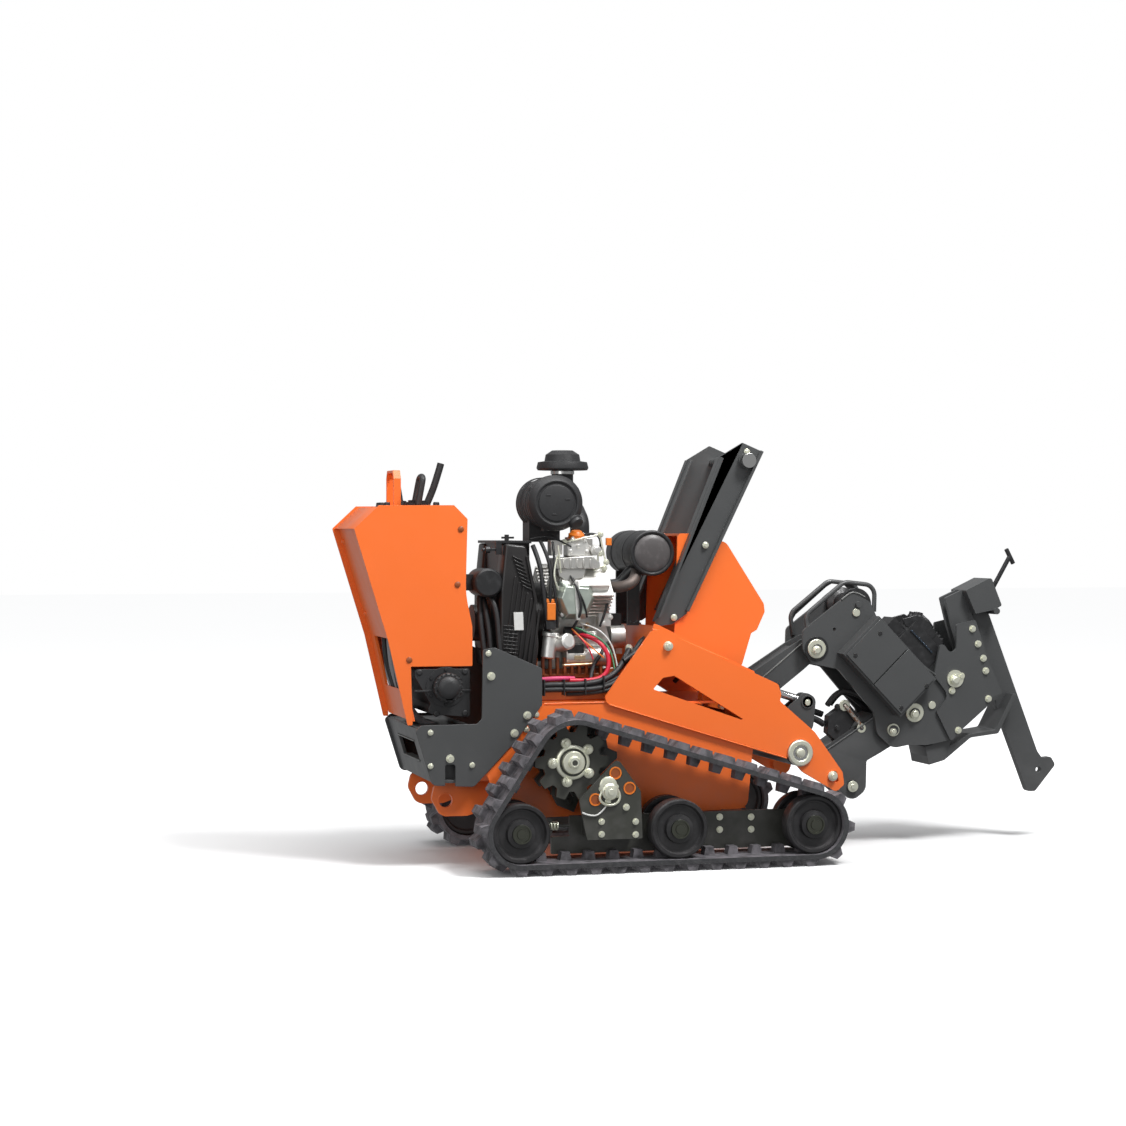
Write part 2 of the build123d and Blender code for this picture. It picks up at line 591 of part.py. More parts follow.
# ================================================================ engine
def engine_block():
    """The crankcase with its sump flange, standing on the chassis mount."""
    flange = box((-24, -105, SUMP_Z), (203, 105, SUMP_Z + 14))
    case = slab([(9, 556, 10), (188, 556, 10), (196, 649, 20), (165, 752, 20), (19, 752, 20), (4, 649, 20)],
                "y", -88, 88)
    plate = rod((5, 0, CRANK_Z), (10, 0, CRANK_Z), 120)
    shaft = rod((-113, 0, CRANK_Z), (6, 0, CRANK_Z), 14)
    return join(cut(flange, rod((4, 0, CRANK_Z), (21, 0, CRANK_Z), 121)), case, plate, shaft)


def cylinder_heads():
    """The two finned cylinders of the V, each with its valve cover."""
    parts = []
    for lean in (-45, 45):
        pieces = [box((24, -44, 96), (174, 44, 190))]
        pieces += [box((13, -58, 100 + 14 * k), (184, 58, 106 + 14 * k)) for k in range(7)]
        pieces.append(box((28, -42, 189), (169, 42, 216)))
        head = join(*pieces).moved(Location((0, 0, CRANK_Z - 10)))
        head = head.rotate(Axis((0, 0, CRANK_Z - 10), (1, 0, 0)), lean)
        keep_out = box((-9, -88, SUMP_Z), (207, 88, 752))
        parts.append(cut(head, keep_out))
    return parts


def blower_housing():
    """The black ribbed cowl of the flywheel fan, and the shroud over the cylinders."""
    mouth, back = -139, -56
    shell = rod((mouth, 0, CRANK_Z), (back, 0, CRANK_Z), 165)
    foot = box((mouth, -120, 574), (back, 120, CRANK_Z))
    crown = box((mouth, -110, CRANK_Z), (back, 110, 943))
    cavity = rod((mouth + 8, 0, CRANK_Z), (back - 8, 0, CRANK_Z), 150)
    eye = rod((mouth - 1, 0, CRANK_Z), (mouth + 9, 0, CRANK_Z), 90)
    bore = rod((back - 9, 0, CRANK_Z), (back + 1, 0, CRANK_Z), 30)
    neck = tube((back - 1, 0, CRANK_Z), (1, 0, CRANK_Z), 118, 104)
    return join(cut(join(shell, foot, crown), cavity, eye, bore), neck)


def flywheel_screen():
    """The ribbed rotating screen on the crankshaft's end."""
    x0, x1 = -207, -135
    dome = rod((x0 + 24, 0, CRANK_Z), (x1, 0, CRANK_Z), 76)
    cap = rod((x0, 0, CRANK_Z), (x0 + 25, 0, CRANK_Z), 54)
    ribs = [tube((x0 + 34 + 12 * k, 0, CRANK_Z), (x0 + 40 + 12 * k, 0, CRANK_Z), 80, 74) for k in range(3)]
    wheel_disc = rod((x1 - 1, 0, CRANK_Z), (-80, 0, CRANK_Z), 60)
    bore = rod((-118, 0, CRANK_Z), (-79, 0, CRANK_Z), 14 + RUN)
    return cut(join(dome, cap, wheel_disc, *ribs), bore)


def air_cleaner():
    """The air cleaner's canister lying across the engine, its end cover towards the right side."""
    face = -190.0
    can = turned([(0, 0), (52, 0), (56, 6), (66, 8), (CANISTER_R + 6, 14), (CANISTER_R + 6, 30),
                  (CANISTER_R, 32), (CANISTER_R, 200), (60, 212), (0, 212)], (5, 1054), face, 1)
    stem = rod((52, -80, 1081), (52, -80, 1152), 32)
    cradle = box((-47, -70, 940), (47, 10, 1015))
    return join(can, stem, cradle)


def rain_cap():
    """The mushroom cap on the air cleaner's inlet."""
    z = 1152
    cap = Solid.revolve(Face(Wire.make_polygon([Vector(52 + r, -80, z + h) for r, h in
                        ((0, 0), (74, 0), (76, 6), (70, 22), (52, 24), (48, 46), (30, 56), (0, 58))])),
                        360, Axis((52, -80, z), (0, 0, 1)))
    return cap


def intake_elbow():
    """The rubber elbow from the canister down to the carburettor."""
    x, z = (5, 1054)
    return bent_bar([(x, 22, z), (x, 78, z), (127, 78, z - 6), (127, 0, z - 54), (127, 0, 951)], 29, 34)


def muffler():
    """The big round muffler, its cross pipe and brackets."""
    wall = [(0, 0), (58, 0), (MUFFLER_R, 6), (MUFFLER_R, 268), (58, 276), (0, 276)]
    can = turned(wall, (306, 907), -160, 1)
    pipe = bent_bar([(187, -90, 812), (222, -90, 816), (284, -90, 880)], 15, 30)
    legs = [box((258, y - 4, 697), (296, y + 4, 851)) for y in (-60.0, 60.0)]
    return join(can, pipe, *legs)


def engine_accessories():
    """The carburettor with its manifold, the starter, the oil filter and the hydraulic pump."""
    carb = box((94, -26, 804), (160, 26, 951))
    manifold = box((94, -58, 838), (141, 58, 866))
    starter = rod((47, -118, 602), (179, -118, 602), 30)
    oil = rod((199, -60, 658), (244, -60, 658), 36)
    pump = join(box((198, -20, 602), (254, 60, 686)),
                rod((253, 20, 649), (271, 20, 649), 26))
    return [join(carb, manifold), starter, oil, pump]


# ================================================================ hood and reel carrier
def hood_shell():
    """The orange hood behind the reel: two side plates, a front plate and a top cross plate."""
    inside = HOOD_HALF - HOOD_T
    shape = [(387, 956, 4), (397, 965, 6), (440, 965, 10), (540, 938, 30), (659, 754, 10), (662, 730, 10),
             (637, 676, 10), (619, 666, 8), (589, 568, 6), (378, 666, 6)]
    side = slab(shape, "y", inside, HOOD_HALF)
    front = slab([(536, 938), (655, 752), (649, 748), (530, 932)], "y", -inside - 1, inside + 1)
    lower = slab([(655, 729), (634, 679), (628, 682), (649, 733)], "y", -inside - 1, inside + 1)
    nose = slab([(655, 754), (658, 731), (650, 729), (648, 752)], "y", -inside - 1, inside + 1)
    top = slab([(399, 964), (440, 964), (538, 937), (536, 931), (439, 958), (399, 958)],
               "y", -inside - 1, inside + 1)
    return join(side, mirrored(side), front, lower, nose, top)


def reel_uprights():
    """The two channel uprights that carry the reel's axle, with the spreader rod between them."""
    shape = [(588, 1236, 4), (650, 1210, 6), (413, 727, 10), (369, 696, 6), (323, 690, 6), (315, 704, 6),
             (515, 1193, 6)]
    axle = (*REEL_AXLE, REEL_AXLE_R + RUN)
    plate = slab(shape, "y", UPRIGHT_Y, UPRIGHT_Y + UPRIGHT_T, [axle])
    boss = cut(across(REEL_AXLE, UPRIGHT_Y + UPRIGHT_T - 1, UPRIGHT_Y + UPRIGHT_T + 10, 24),
               across(REEL_AXLE, UPRIGHT_Y, UPRIGHT_Y + UPRIGHT_T + 11, REEL_AXLE_R + RUN))
    low, high = UPRIGHT_Y + UPRIGHT_T - 1, UPRIGHT_Y + UPRIGHT_FLANGE
    rear = slab([(515, 1192), (321, 716), (329, 716), (523, 1189)], "y", low, high)
    fore = slab([(649, 1209), (415, 733), (408, 737), (641, 1213)], "y", low, high)
    left = join(plate, boss, rear, fore)
    return both(left)


def reel_axle():
    """The bar that a cable reel turns on, with a knob and a cross pin at its right end."""
    end = UPRIGHT_Y + UPRIGHT_T + 10
    bar = across(REEL_AXLE, -end - 12, end + 24, REEL_AXLE_R)
    head = across(REEL_AXLE, -end - 24, -end - 2, 22)
    return join(bar, head)


# ================================================================ boom and link
def boom():
    """The boom: a hub tube across the arms, two beam plates, the end boss, roller lugs and cylinder lugs."""
    hub = tube((BOOM_PIN[0], -TUB_HALF + SLACK, BOOM_PIN[1]), (BOOM_PIN[0], TUB_HALF - SLACK, BOOM_PIN[1]),
               HUB_R, BOOM_PIN_R + RUN)
    shape = [(724, 282, 16), (724, 340, 16), (761, 350, 10), (893, 299, 30), (1053, 397, 20), (1102, 393, 30),
             (1147, 368, 34), (1126, 320, 20), (1073, 290, 10), (1025, 265, 10), (1023, 175, 34),
             (978, 141, 30), (932, 179, 30), (926, 224, 10), (752, 271, 20)]
    bores = [(*BOOM_PIN, BOOM_PIN_R + RUN), (*BOOM_END, END_PIN_R + RUN), (977, 188, 10 + RUN)]
    plate = slab(shape, "y", BOOM_HALF - 14, BOOM_HALF, bores)
    top = slab([(884, 303), (1051, 410), (1057, 401), (889, 294)], "y", -BOOM_HALF + 13, BOOM_HALF - 13)
    under = slab([(926, 231), (1023, 265), (1021, 274), (923, 241)], "y", -BOOM_HALF + 13, BOOM_HALF - 13)
    web = slab([(1025, 273), (1086, 303), (1081, 312), (1021, 282)], "y", -BOOM_HALF + 13, BOOM_HALF - 13)
    lug_shape = [(714, 310, 20), (724, 442, 20), (782, 489, 20), (816, 470, 24), (807, 386, 20),
                 (771, 310, 20)]
    lugs = []
    for side in (-1, 1):
        low, high = sorted((CYLINDER_Y + side * (EYE_HALF + 2), CYLINDER_Y + side * (EYE_HALF + 12)))
        lug_plate = slab(lug_shape, "y", low, high, [(*CYLINDER_EYE, EYE_PIN_R)])
        lugs.append(cut(lug_plate, across(BOOM_PIN, low - 1, high + 1, HUB_R - 2)))
    pin = across(CYLINDER_EYE, CYLINDER_Y - EYE_HALF - 14, CYLINDER_Y + EYE_HALF + 14, EYE_PIN_R)
    washers = [turned([(EYE_PIN_R - 1, 0), (20, 0), (20, 4), (EYE_PIN_R - 1, 4)], CYLINDER_EYE,
                      CYLINDER_Y - EYE_HALF - 12, -1)]
    return join(hub, plate, mirrored(plate), top, under, web, *lugs, pin, *washers)


def upper_link():
    """The upper link: a boxed arm with an eye at each end; its foot is loose on the arms' cross bar."""
    ux, uz = LINK_TOP[0] - LINK_FOOT[0], LINK_TOP[1] - LINK_FOOT[1]
    length = math.hypot(ux, uz)
    ux, uz = ux / length, uz / length

    def point(s, h, r):
        return (LINK_FOOT[0] + ux * s - uz * h, LINK_FOOT[1] + uz * s + ux * h, r)

    shape = [point(-32, -26, 22), point(-32, 34, 26), point(16, 60, 12), point(length - 40, 46, 16),
             point(length + 34, 34, 30), point(length + 34, -30, 30), point(length - 60, -36, 16),
             point(20, -38, 12)]
    foot_bore = END_PIN_R + FOOT_PLAY
    plate = slab(shape, "y", LINK_HALF - 10, LINK_HALF,
                 [(*LINK_FOOT, foot_bore), (*LINK_TOP, END_PIN_R + RUN)])
    sleeve = tube((LINK_TOP[0], -LINK_HALF + 9, LINK_TOP[1]), (LINK_TOP[0], LINK_HALF - 9, LINK_TOP[1]),
                  26, END_PIN_R + RUN)
    inner = LINK_HALF - 9
    skin = slab([point(16, 52, 0), point(length - 44, 40, 0), point(length - 44, 33, 0), point(16, 45, 0)],
                "y", -inner, inner)
    belly = slab([point(28, -34, 0), point(length - 60, -32, 0), point(length - 60, -25, 0),
                  point(28, -27, 0)], "y", -inner, inner)
    return join(plate, mirrored(plate), sleeve, skin, belly)


def cylinder_line():
    """Unit vector from the cylinder's foot pin to its eye, and their distance."""
    dx, dz = CYLINDER_EYE[0] - CYLINDER_FOOT[0], CYLINDER_EYE[1] - CYLINDER_FOOT[1]
    length = math.hypot(dx, dz)
    return dx / length, dz / length, length


def on_cylinder(s):
    """The point s from the foot pin along the cylinder."""
    ux, uz, _ = cylinder_line()
    return (CYLINDER_FOOT[0] + ux * s, CYLINDER_Y, CYLINDER_FOOT[1] + uz * s)


def lift_barrel():
    """The lift cylinder's barrel: foot eye, bored tube and gland."""
    body = rod(on_cylinder(40), on_cylinder(BARREL_END), BARREL_R)
    neck = rod(on_cylinder(4), on_cylinder(41), 15)
    bore = rod(on_cylinder(50), on_cylinder(BARREL_END - BARREL_WALL), PISTON_R + RUN)
    gland = rod(on_cylinder(BARREL_END - BARREL_WALL - 1), on_cylinder(BARREL_END + 1), ROD_R + RUN)
    eye = across(CYLINDER_FOOT, CYLINDER_Y - 16, CYLINDER_Y + 16, 21)
    hole = across(CYLINDER_FOOT, CYLINDER_Y - 17, CYLINDER_Y + 17, 10 + RUN)
    x, y, z = on_cylinder(60)
    port = rod((x, y, z + 25), (x + 4, y, z + 42), 8)
    return cut(join(body, neck, eye, port), bore, gland, hole)


def lift_foot():
    """The clevis on the deck that holds the lift cylinder's foot pin."""
    x, z = CYLINDER_FOOT
    plates = []
    for side in (-1, 1):
        low, high = sorted((CYLINDER_Y + side * 18, CYLINDER_Y + side * 28))
        plates.append(slab([(x - 34, DECK_Z - 1.2, 0), (x + 20, DECK_Z - 1.2, 0), (x + 14, z + 14, 12),
                            (x - 24, z + 14, 18)], "y", low, high))
    pin = across(CYLINDER_FOOT, CYLINDER_Y - 30, CYLINDER_Y + 30, 10)
    return join(*plates, pin)


def lift_rod():
    """The lift cylinder's rod with its piston, and the loose eye round the boom's pin."""
    length = cylinder_line()[2]
    bar = rod(on_cylinder(60), on_cylinder(length - 14), ROD_R)
    piston = rod(on_cylinder(54), on_cylinder(72), PISTON_R)
    eye = across(CYLINDER_EYE, CYLINDER_Y - EYE_HALF, CYLINDER_Y + EYE_HALF, 25)
    hole = across(CYLINDER_EYE, CYLINDER_Y - EYE_HALF - 1, CYLINDER_Y + EYE_HALF + 1, EYE_PIN_R + EYE_PLAY)
    return cut(join(bar, piston, eye), hole)


def ground_roller():
    """The roller under the boom."""
    inside = BOOM_HALF - 14 - 1
    body = across((977, 188), -inside, inside, 33)
    return join(body, across((977, 188), -BOOM_HALF - 6, BOOM_HALF + 6, 10))


# ================================================================ plow frame, vibrator, blade
def tilted(long_low, long_high, short_low, short_high, y_low, y_high):
    """A block in the vibrator's leaning frame: along its long side, across it, and along Y."""
    a = math.radians(TILT)
    ux, uz, vx, vz = math.cos(a), -math.sin(a), math.sin(a), math.cos(a)
    corners = [(long_low, short_low), (long_high, short_low), (long_high, short_high), (long_low, short_high)]
    flat = [(BOX_MID[0] + ux * s + vx * t, BOX_MID[1] + uz * s + vz * t) for s, t in corners]
    return slab(flat, "y", y_low, y_high)


def tilted_point(s, t):
    a = math.radians(TILT)
    return (BOX_MID[0] + math.cos(a) * s + math.sin(a) * t, BOX_MID[1] - math.sin(a) * s + math.cos(a) * t)


def plow_frame():
    """Two side plates from the upper link's pin to the blade, the pins and a cross tube."""
    shape = [(810, 609, 30), (812, 670, 20), (932, 759, 20), (970, 788, 34), (1030, 754, 30), (1055, 701, 6),
             (1237, 532, 10), (1340, 568, 12), (1376, 528, 12), (1335, 414, 12), (1295, 324, 12),
             (1217, 310, 12), (1156, 312, 20), (1105, 303, 40), (1053, 348, 40), (1043, 414, 20),
             (926, 549, 20), (839, 568, 14)]
    half_l, half_s = BOX_LONG / 2 - 20, BOX_SHORT / 2 - 20
    window = [(*tilted_point(s, t), 12) for s, t in
              ((-half_l, -half_s), (half_l, -half_s), (half_l, half_s), (-half_l, half_s))]
    plate = slab(shape, "y", PLOW_IN, PLOW_OUT, [(913, 672, 5)], [window])
    pins = [across(LINK_TOP, -PLOW_OUT - 14, PLOW_OUT + 14, END_PIN_R),
            across(BOOM_END, -PLOW_OUT - 12, PLOW_OUT + 12, END_PIN_R)]
    heads = []
    for pin, r in ((LINK_TOP, 27), ((1176, 412), 27), (BOOM_END, 17)):
        heads += [turned([(0, -1), (r, -1), (r, 5), (14, 5), (14, 14), (0, 14)], pin, PLOW_OUT, 1),
                  turned([(0, -1), (r, -1), (r, 5), (14, 5), (14, 14), (0, 14)], pin, -PLOW_OUT, -1)]
    spreader = across((1261, 376), -PLOW_IN - 1, PLOW_IN + 1, 18)
    axle = across(SHEAVE, -PLOW_OUT - 10, PLOW_OUT + 10, 9)
    return join(plate, mirrored(plate), *pins, *heads, spreader, axle, *cable_guard())


def vibrator_housing(frame):
    """The vibrator's box between and round the plow frame's plates, bored for the eccentric shafts."""
    half_l, half_s = BOX_LONG / 2, BOX_SHORT / 2
    body = tilted(-half_l, half_l, -half_s, half_s, -BOX_HALF, BOX_HALF)
    wall = 22.0
    hollow = tilted(-half_l + wall, half_l - wall, -half_s + wall, half_s - wall, -BOX_HALF + BOX_WALL,
                    BOX_HALF - BOX_WALL)
    bores = [across(tilted_point(s, 0), -BOX_HALF - 1, BOX_HALF + 1, ECC_SHAFT_R + RUN)
             for s in (-ECC_OFFSET, ECC_OFFSET)]
    caps = []
    for s in (-ECC_OFFSET, ECC_OFFSET):
        for y, sign in ((BOX_HALF, 1), (-BOX_HALF, -1)):
            caps.append(turned([(0, 0), (32, 0), (32, 5), (0, 5)], tilted_point(s, 0), y, sign))
    block = join(cut(body, hollow, *bores), *caps)
    return cut(block, frame)


def eccentric(s):
    """An eccentric shaft with its half-round weight, turning inside the vibrator."""
    end = BOX_HALF - 0.5
    shaft = across(tilted_point(s, 0), -end, end, ECC_SHAFT_R)
    weight = across(tilted_point(s, 0), -90, 90, ECC_R)
    px, pz = tilted_point(s, 0)
    off = box((px - 60, -91, pz), (px + 60, 91, pz + 60))
    return join(shaft, cut(weight, off))


def vibrator_motor():
    """The hydraulic motor on top of the vibrator, with its finned case and port block."""
    foot, top = BOX_SHORT / 2, BOX_SHORT / 2 + 92
    case = tilted(-20, 118, foot, top, -66, 66)
    dome = tilted(-2, 100, top - 1, top + 26, -50, 50)
    fins = [tilted(4 + 14 * k, 9 + 14 * k, top + 25, top + 34, -50, 50) for k in range(7)]
    block = tilted(-70, -19, foot, foot + 58, -42, 42)
    return join(case, dome, *fins, block)


def blade_carrier(frame):
    """The bolted bracket plates, the two cheeks that clamp the blade, and its top socket."""
    shape = [(1246, 414, 6), (1288, 462, 30), (1237, 526, 6), (1261, 634, 10), (1311, 568, 16),
             (1313, 683, 6), (1376, 697, 8), (1421, 564, 60), (1468, 467, 6), (1436, 457, 8), (1421, 431, 8),
             (1318, 346, 10), (1296, 319, 8)]
    y0, y1 = BRACKET_Y, BRACKET_Y + BRACKET_T
    half_l, half_s = BOX_LONG / 2 + 1, BOX_SHORT / 2 + 1
    box_room = tilted(-half_l, half_l, -half_s, half_s, y0 - 1, y1 + 1)
    plate = cut(slab(shape, "y", y0, y1), box_room)
    cheek_shape = [(1303, 763, 6), (1358, 787, 4), (1393, 711, 8), (1421, 649, 20), (1485, 442, 10),
                   (1440, 442, 10), (1372, 526, 30), (1325, 677, 20)]
    cheek = slab(cheek_shape, "y", BLADE_HALF, BLADE_HALF + 14)
    spacers = [across(pin, BLADE_HALF + 13, y0 + 1, 15) for pin in ((1365, 669), (1391, 602), (1425, 479))]
    cover = [(1391, 714, 3), (1358, 787, 4), (1444, 827, 8), (1480, 739, 6), (1455, 726, 4)]
    socket = slab(cover, "y", -58, 58)
    nut = across((1457, 722), -72, 72, 10)
    left = join(plate, cheek, *spacers)
    carrier = join(left, mirrored(left), socket, nut)
    room = slab(blade_outline(), "y", -BLADE_HALF, BLADE_HALF)
    return cut(carrier, room, rod(handle_point(-60), handle_point(60), 7 + RUN), frame)


def handle_point(s):
    """A point on the T-handle's axis, s from where it leaves the socket."""
    x0, z0 = (1474, 790)
    x1, z1 = (1528, 883)
    length = math.hypot(x1 - x0, z1 - z0)
    return (x0 + (x1 - x0) / length * s, 0, z0 + (z1 - z0) / length * s)


def blade_t_handle():
    """The T-handled screw that locks the blade's top."""
    length = 118.0
    tip = handle_point(length)
    stem = rod(handle_point(-38), tip, 7)
    x0, z0 = (1520, 904)
    x1, z1 = (1546, 854)
    scale = 26.0 / math.hypot(x1 - x0, z1 - z0)
    bar = rod((tip[0] - (x1 - x0) * scale, 0, tip[2] - (z1 - z0) * scale),
              (tip[0] + (x1 - x0) * scale, 0, tip[2] + (z1 - z0) * scale), 7)
    return join(stem, bar)


def blade_outline():
    return [(1393, 743, 3), (1434, 761, 3), (1460, 704, 4), (1537, 503, 200), (1624, 277, 20),
            (1640, 255, 6), (1671, 258, 12), (1687, 232, 12), (1617, 150, 14), (1589, 150, 14),
            (1485, 414, 200), (1415, 658, 40)]


def blade():
    """The plow blade with its trailing foot; the slot near the foot takes the cable puller's pin."""
    return slab(blade_outline(), "y", -BLADE_HALF, BLADE_HALF, [(*PULLER_HOLE, PULLER_HOLE_R)])


def skid_shoe():
    """The bent shoe under the plow frame, slotted for the blade."""
    profile = [(1217, 306, 3), (1225, 274, 3), (1230, 247, 3), (1283, 261, 20), (1371, 329, 20),
               (1465, 340, 10), (1528, 461, 3), (1515, 464, 3), (1455, 352, 10), (1367, 340, 20),
               (1288, 299, 10), (1263, 314, 6)]
    half = PLOW_IN - 1
    shoe = slab(profile, "y", -half, half)
    ears = [slab([(1241, 310), (1297, 395), (1327, 395), (1297, 299), (1261, 299)], "y", y, y + 10)
            for y in (-half, half - 10)]
    room = slab(blade_outline(), "y", -BLADE_HALF - 2, BLADE_HALF + 2)
    return cut(join(shoe, *ears), room, across((1261, 376), -PLOW_IN - 1, PLOW_IN + 1, 18))


def plow_bolts():
    """The bolts of the vibrator's cover and the blade brackets."""
    cover = [(1039, 661), (959, 595), (1192, 498), (1109, 432)]
    bracket = [(1365, 669), (1384, 622), (1402, 577), (1410, 538), (1297, 478), (1328, 523),
               (1419, 451), (1318, 355)]
    face = BRACKET_Y + BRACKET_T
    left = [bolt(p, BOX_HALF, 1, 6.5, 9.0) for p in cover]
    left += [bolt(p, face, 1, 7.5, 11.0) for p in bracket]
    left.append(turned([(0, 0), (27, 0), (27, 5), (13, 5), (13, 12), (0, 12)], (1307, 515), face))
    return left + [mirrored(b) for b in left]


def sheave_roller():
    """The grooved cable guide roller at the top of the plow frame."""
    half = PLOW_IN - 2
    profile = [(9 + RUN, -half), (SHEAVE_R, -half), (SHEAVE_R, -half + 16), (SHEAVE_R - 18, -half + 26),
               (SHEAVE_R - 18, half - 26), (SHEAVE_R, half - 16), (SHEAVE_R, half), (9 + RUN, half)]
    return turned(profile, SHEAVE, 0)


def cable_guard():
    """The bent guard bar that keeps the cable on the guide roller."""
    parts = []
    for y in (-PLOW_IN, PLOW_IN):
        path = [(x, y, z) for x, z in ((833, 649), (823, 716), (949, 816), (1049, 805), (1047, 724))]
        parts.append(bent_bar(path, 7, 34))
    return parts


# ================================================================ hoses
def hose(points, r):
    """A hose through points, each bend as wide as its two runs allow."""
    radii = []
    for a, b, c in zip(points, points[1:], points[2:]):
        u, v = Vector(*b) - Vector(*a), Vector(*c) - Vector(*b)
        turned_by = math.radians(u.get_angle(v))
        radii.append(0.45 * min(u.length, v.length) / math.tan(turned_by / 2))
    path = FilletPolyline(*points, radius=radii)
    return sweep(Plane(origin=path @ 0, z_dir=path % 0) * Circle(r), path=path)


PLOW_HOSES = [
    [(583, 442), (639, 414), (696, 393), (752, 399), (808, 414), (865, 423), (912, 404)],
    [(583, 414), (639, 387), (696, 376), (752, 380), (808, 391), (865, 404), (902, 376)],
]
PLOW_HOSE_Y = (20.0, -20.0)


def plow_hoses():
    """The two hydraulic hoses from the tub's front to the boom."""
    made = []
    for route, y in zip(PLOW_HOSES, PLOW_HOSE_Y):
        made.append(hose([(x, y + 3 * (k % 2), z) for k, (x, z) in enumerate(route)], 10))
    return made


# ================================================================ assembly
def pieces():
    """Every node's name and its shape, before placing."""
    frame = plow_frame()
    nodes = {
        "chassis_frame": chassis_frame(),
        "arm_plates": arm_plates(),
        "boom_pivot_pin": boom_pivot_pin(),
        "chassis_bolts": chassis_bolts(),
        "rear_guards": rear_guards(),
        "rear_weight": rear_weight(),
        "tower_side_left": tower_side(),
        "tower_side_right": mirrored(tower_side()),
        "tower_rear_panel": tower_rear_panel(),
        "tower_deck": tower_deck(),
        "lever_shafts": lever_shafts(),
        "drive_lever_left": drive_lever(95.0),
        "drive_lever_right": drive_lever(-95.0),
        "lift_lever": lift_lever(),
        "fuel_tank": fuel_tank(),
        "fuel_cap": fuel_cap(),
        "hydraulic_filter": hydraulic_filter(),
        "battery": battery(),
        "engine_block": engine_block(),
        "cylinder_heads": cylinder_heads(),
        "blower_housing": blower_housing(),
        "flywheel_screen": flywheel_screen(),
        "air_cleaner": air_cleaner(),
        "rain_cap": rain_cap(),
        "intake_elbow": intake_elbow(),
        "muffler": muffler(),
        "engine_accessories": engine_accessories(),
        "hood_shell": hood_shell(),
        "reel_uprights": reel_uprights(),
        "reel_axle": reel_axle(),
        "drive_motors": drive_motors(),
        "track_frame_left": track_frame(),
        "track_frame_right": mirrored(track_frame()),
        "track_belt_left": track_belt(),
        "track_belt_right": mirrored(track_belt()),
        "sprocket_left": sprocket(),
        "sprocket_right": mirrored(sprocket()),
        "boom": boom(),
        "upper_link": upper_link(),
        "lift_barrel": lift_barrel(),
        "lift_rod": lift_rod(),
        "ground_roller": ground_roller(),
        "plow_frame": frame,
        "vibrator_housing": vibrator_housing(frame),
        "eccentric_upper": eccentric(-ECC_OFFSET),
        "eccentric_lower": eccentric(ECC_OFFSET),
        "vibrator_motor": vibrator_motor(),
        "blade_carrier": blade_carrier(frame),
        "blade_t_handle": blade_t_handle(),
        "blade": blade(),
        "skid_shoe": skid_shoe(),
        "plow_bolts": plow_bolts(),
        "sheave_roller": sheave_roller(),
        "plow_hoses": plow_hoses(),
    }
    for name, x in WHEELS.items():
        nodes[name + "_left"] = wheel(x)
        nodes[name + "_right"] = mirrored(wheel(x))
    return nodes


def solids_of(shape):
    shapes = shape if isinstance(shape, (list, tuple)) else [shape]
    return [s for one in shapes for s in one.solids()]


def place(nodes):
    """Moves every piece so that the origin is the bottom centre of the whole machine's box."""
    whole = Compound(children=[s for shape in nodes.values() for s in solids_of(shape)])
    bounds = whole.bounding_box()
    middle = (bounds.min.X + bounds.max.X) / 2
    return Vector(-middle, -(bounds.min.Y + bounds.max.Y) / 2, -bounds.min.Z)


def main():
    os.makedirs("parts", exist_ok=True)
    nodes = pieces()
    shift = place(nodes)
    print("nodes", len(nodes), "shift", shift)
    for name, shape in nodes.items():
        moved = [s.moved(Location(shift)) for s in solids_of(shape)]
        export_step(Compound(children=moved) if len(moved) > 1 else moved[0], "parts/" + name + ".step")


if __name__ == "__main__":
    main()
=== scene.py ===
"""Looks of the tracked vibratory plow: paint, rubber, castings, hoses, fittings and the stage."""
import json
import math

import bmesh
import bpy
from mathutils import Matrix, Vector


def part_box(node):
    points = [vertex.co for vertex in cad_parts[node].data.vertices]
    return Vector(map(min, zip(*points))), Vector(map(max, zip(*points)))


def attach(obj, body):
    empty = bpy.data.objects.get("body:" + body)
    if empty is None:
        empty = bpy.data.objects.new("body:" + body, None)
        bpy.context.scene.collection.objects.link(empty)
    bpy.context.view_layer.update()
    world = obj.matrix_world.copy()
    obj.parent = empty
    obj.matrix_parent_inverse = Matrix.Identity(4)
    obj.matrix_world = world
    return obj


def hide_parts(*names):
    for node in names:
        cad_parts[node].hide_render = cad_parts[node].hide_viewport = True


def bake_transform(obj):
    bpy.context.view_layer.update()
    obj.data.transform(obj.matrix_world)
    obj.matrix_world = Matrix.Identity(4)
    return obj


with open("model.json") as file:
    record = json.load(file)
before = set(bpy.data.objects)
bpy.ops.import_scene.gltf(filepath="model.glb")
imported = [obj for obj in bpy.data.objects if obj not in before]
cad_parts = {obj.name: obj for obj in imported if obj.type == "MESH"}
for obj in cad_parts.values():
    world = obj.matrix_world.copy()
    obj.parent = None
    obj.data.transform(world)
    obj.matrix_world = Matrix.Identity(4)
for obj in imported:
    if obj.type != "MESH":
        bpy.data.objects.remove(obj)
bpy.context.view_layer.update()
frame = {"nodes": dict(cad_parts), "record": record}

bl_info = {
    "name": "Tracked vibratory plow",
    "version": (1, 0, 0),
    "blender": (4, 5, 0),
    "location": "3D View > Sidebar > Plow",
    "description": "Finishes and fittings of a walk-behind tracked vibratory plow",
    "category": "Object",
}

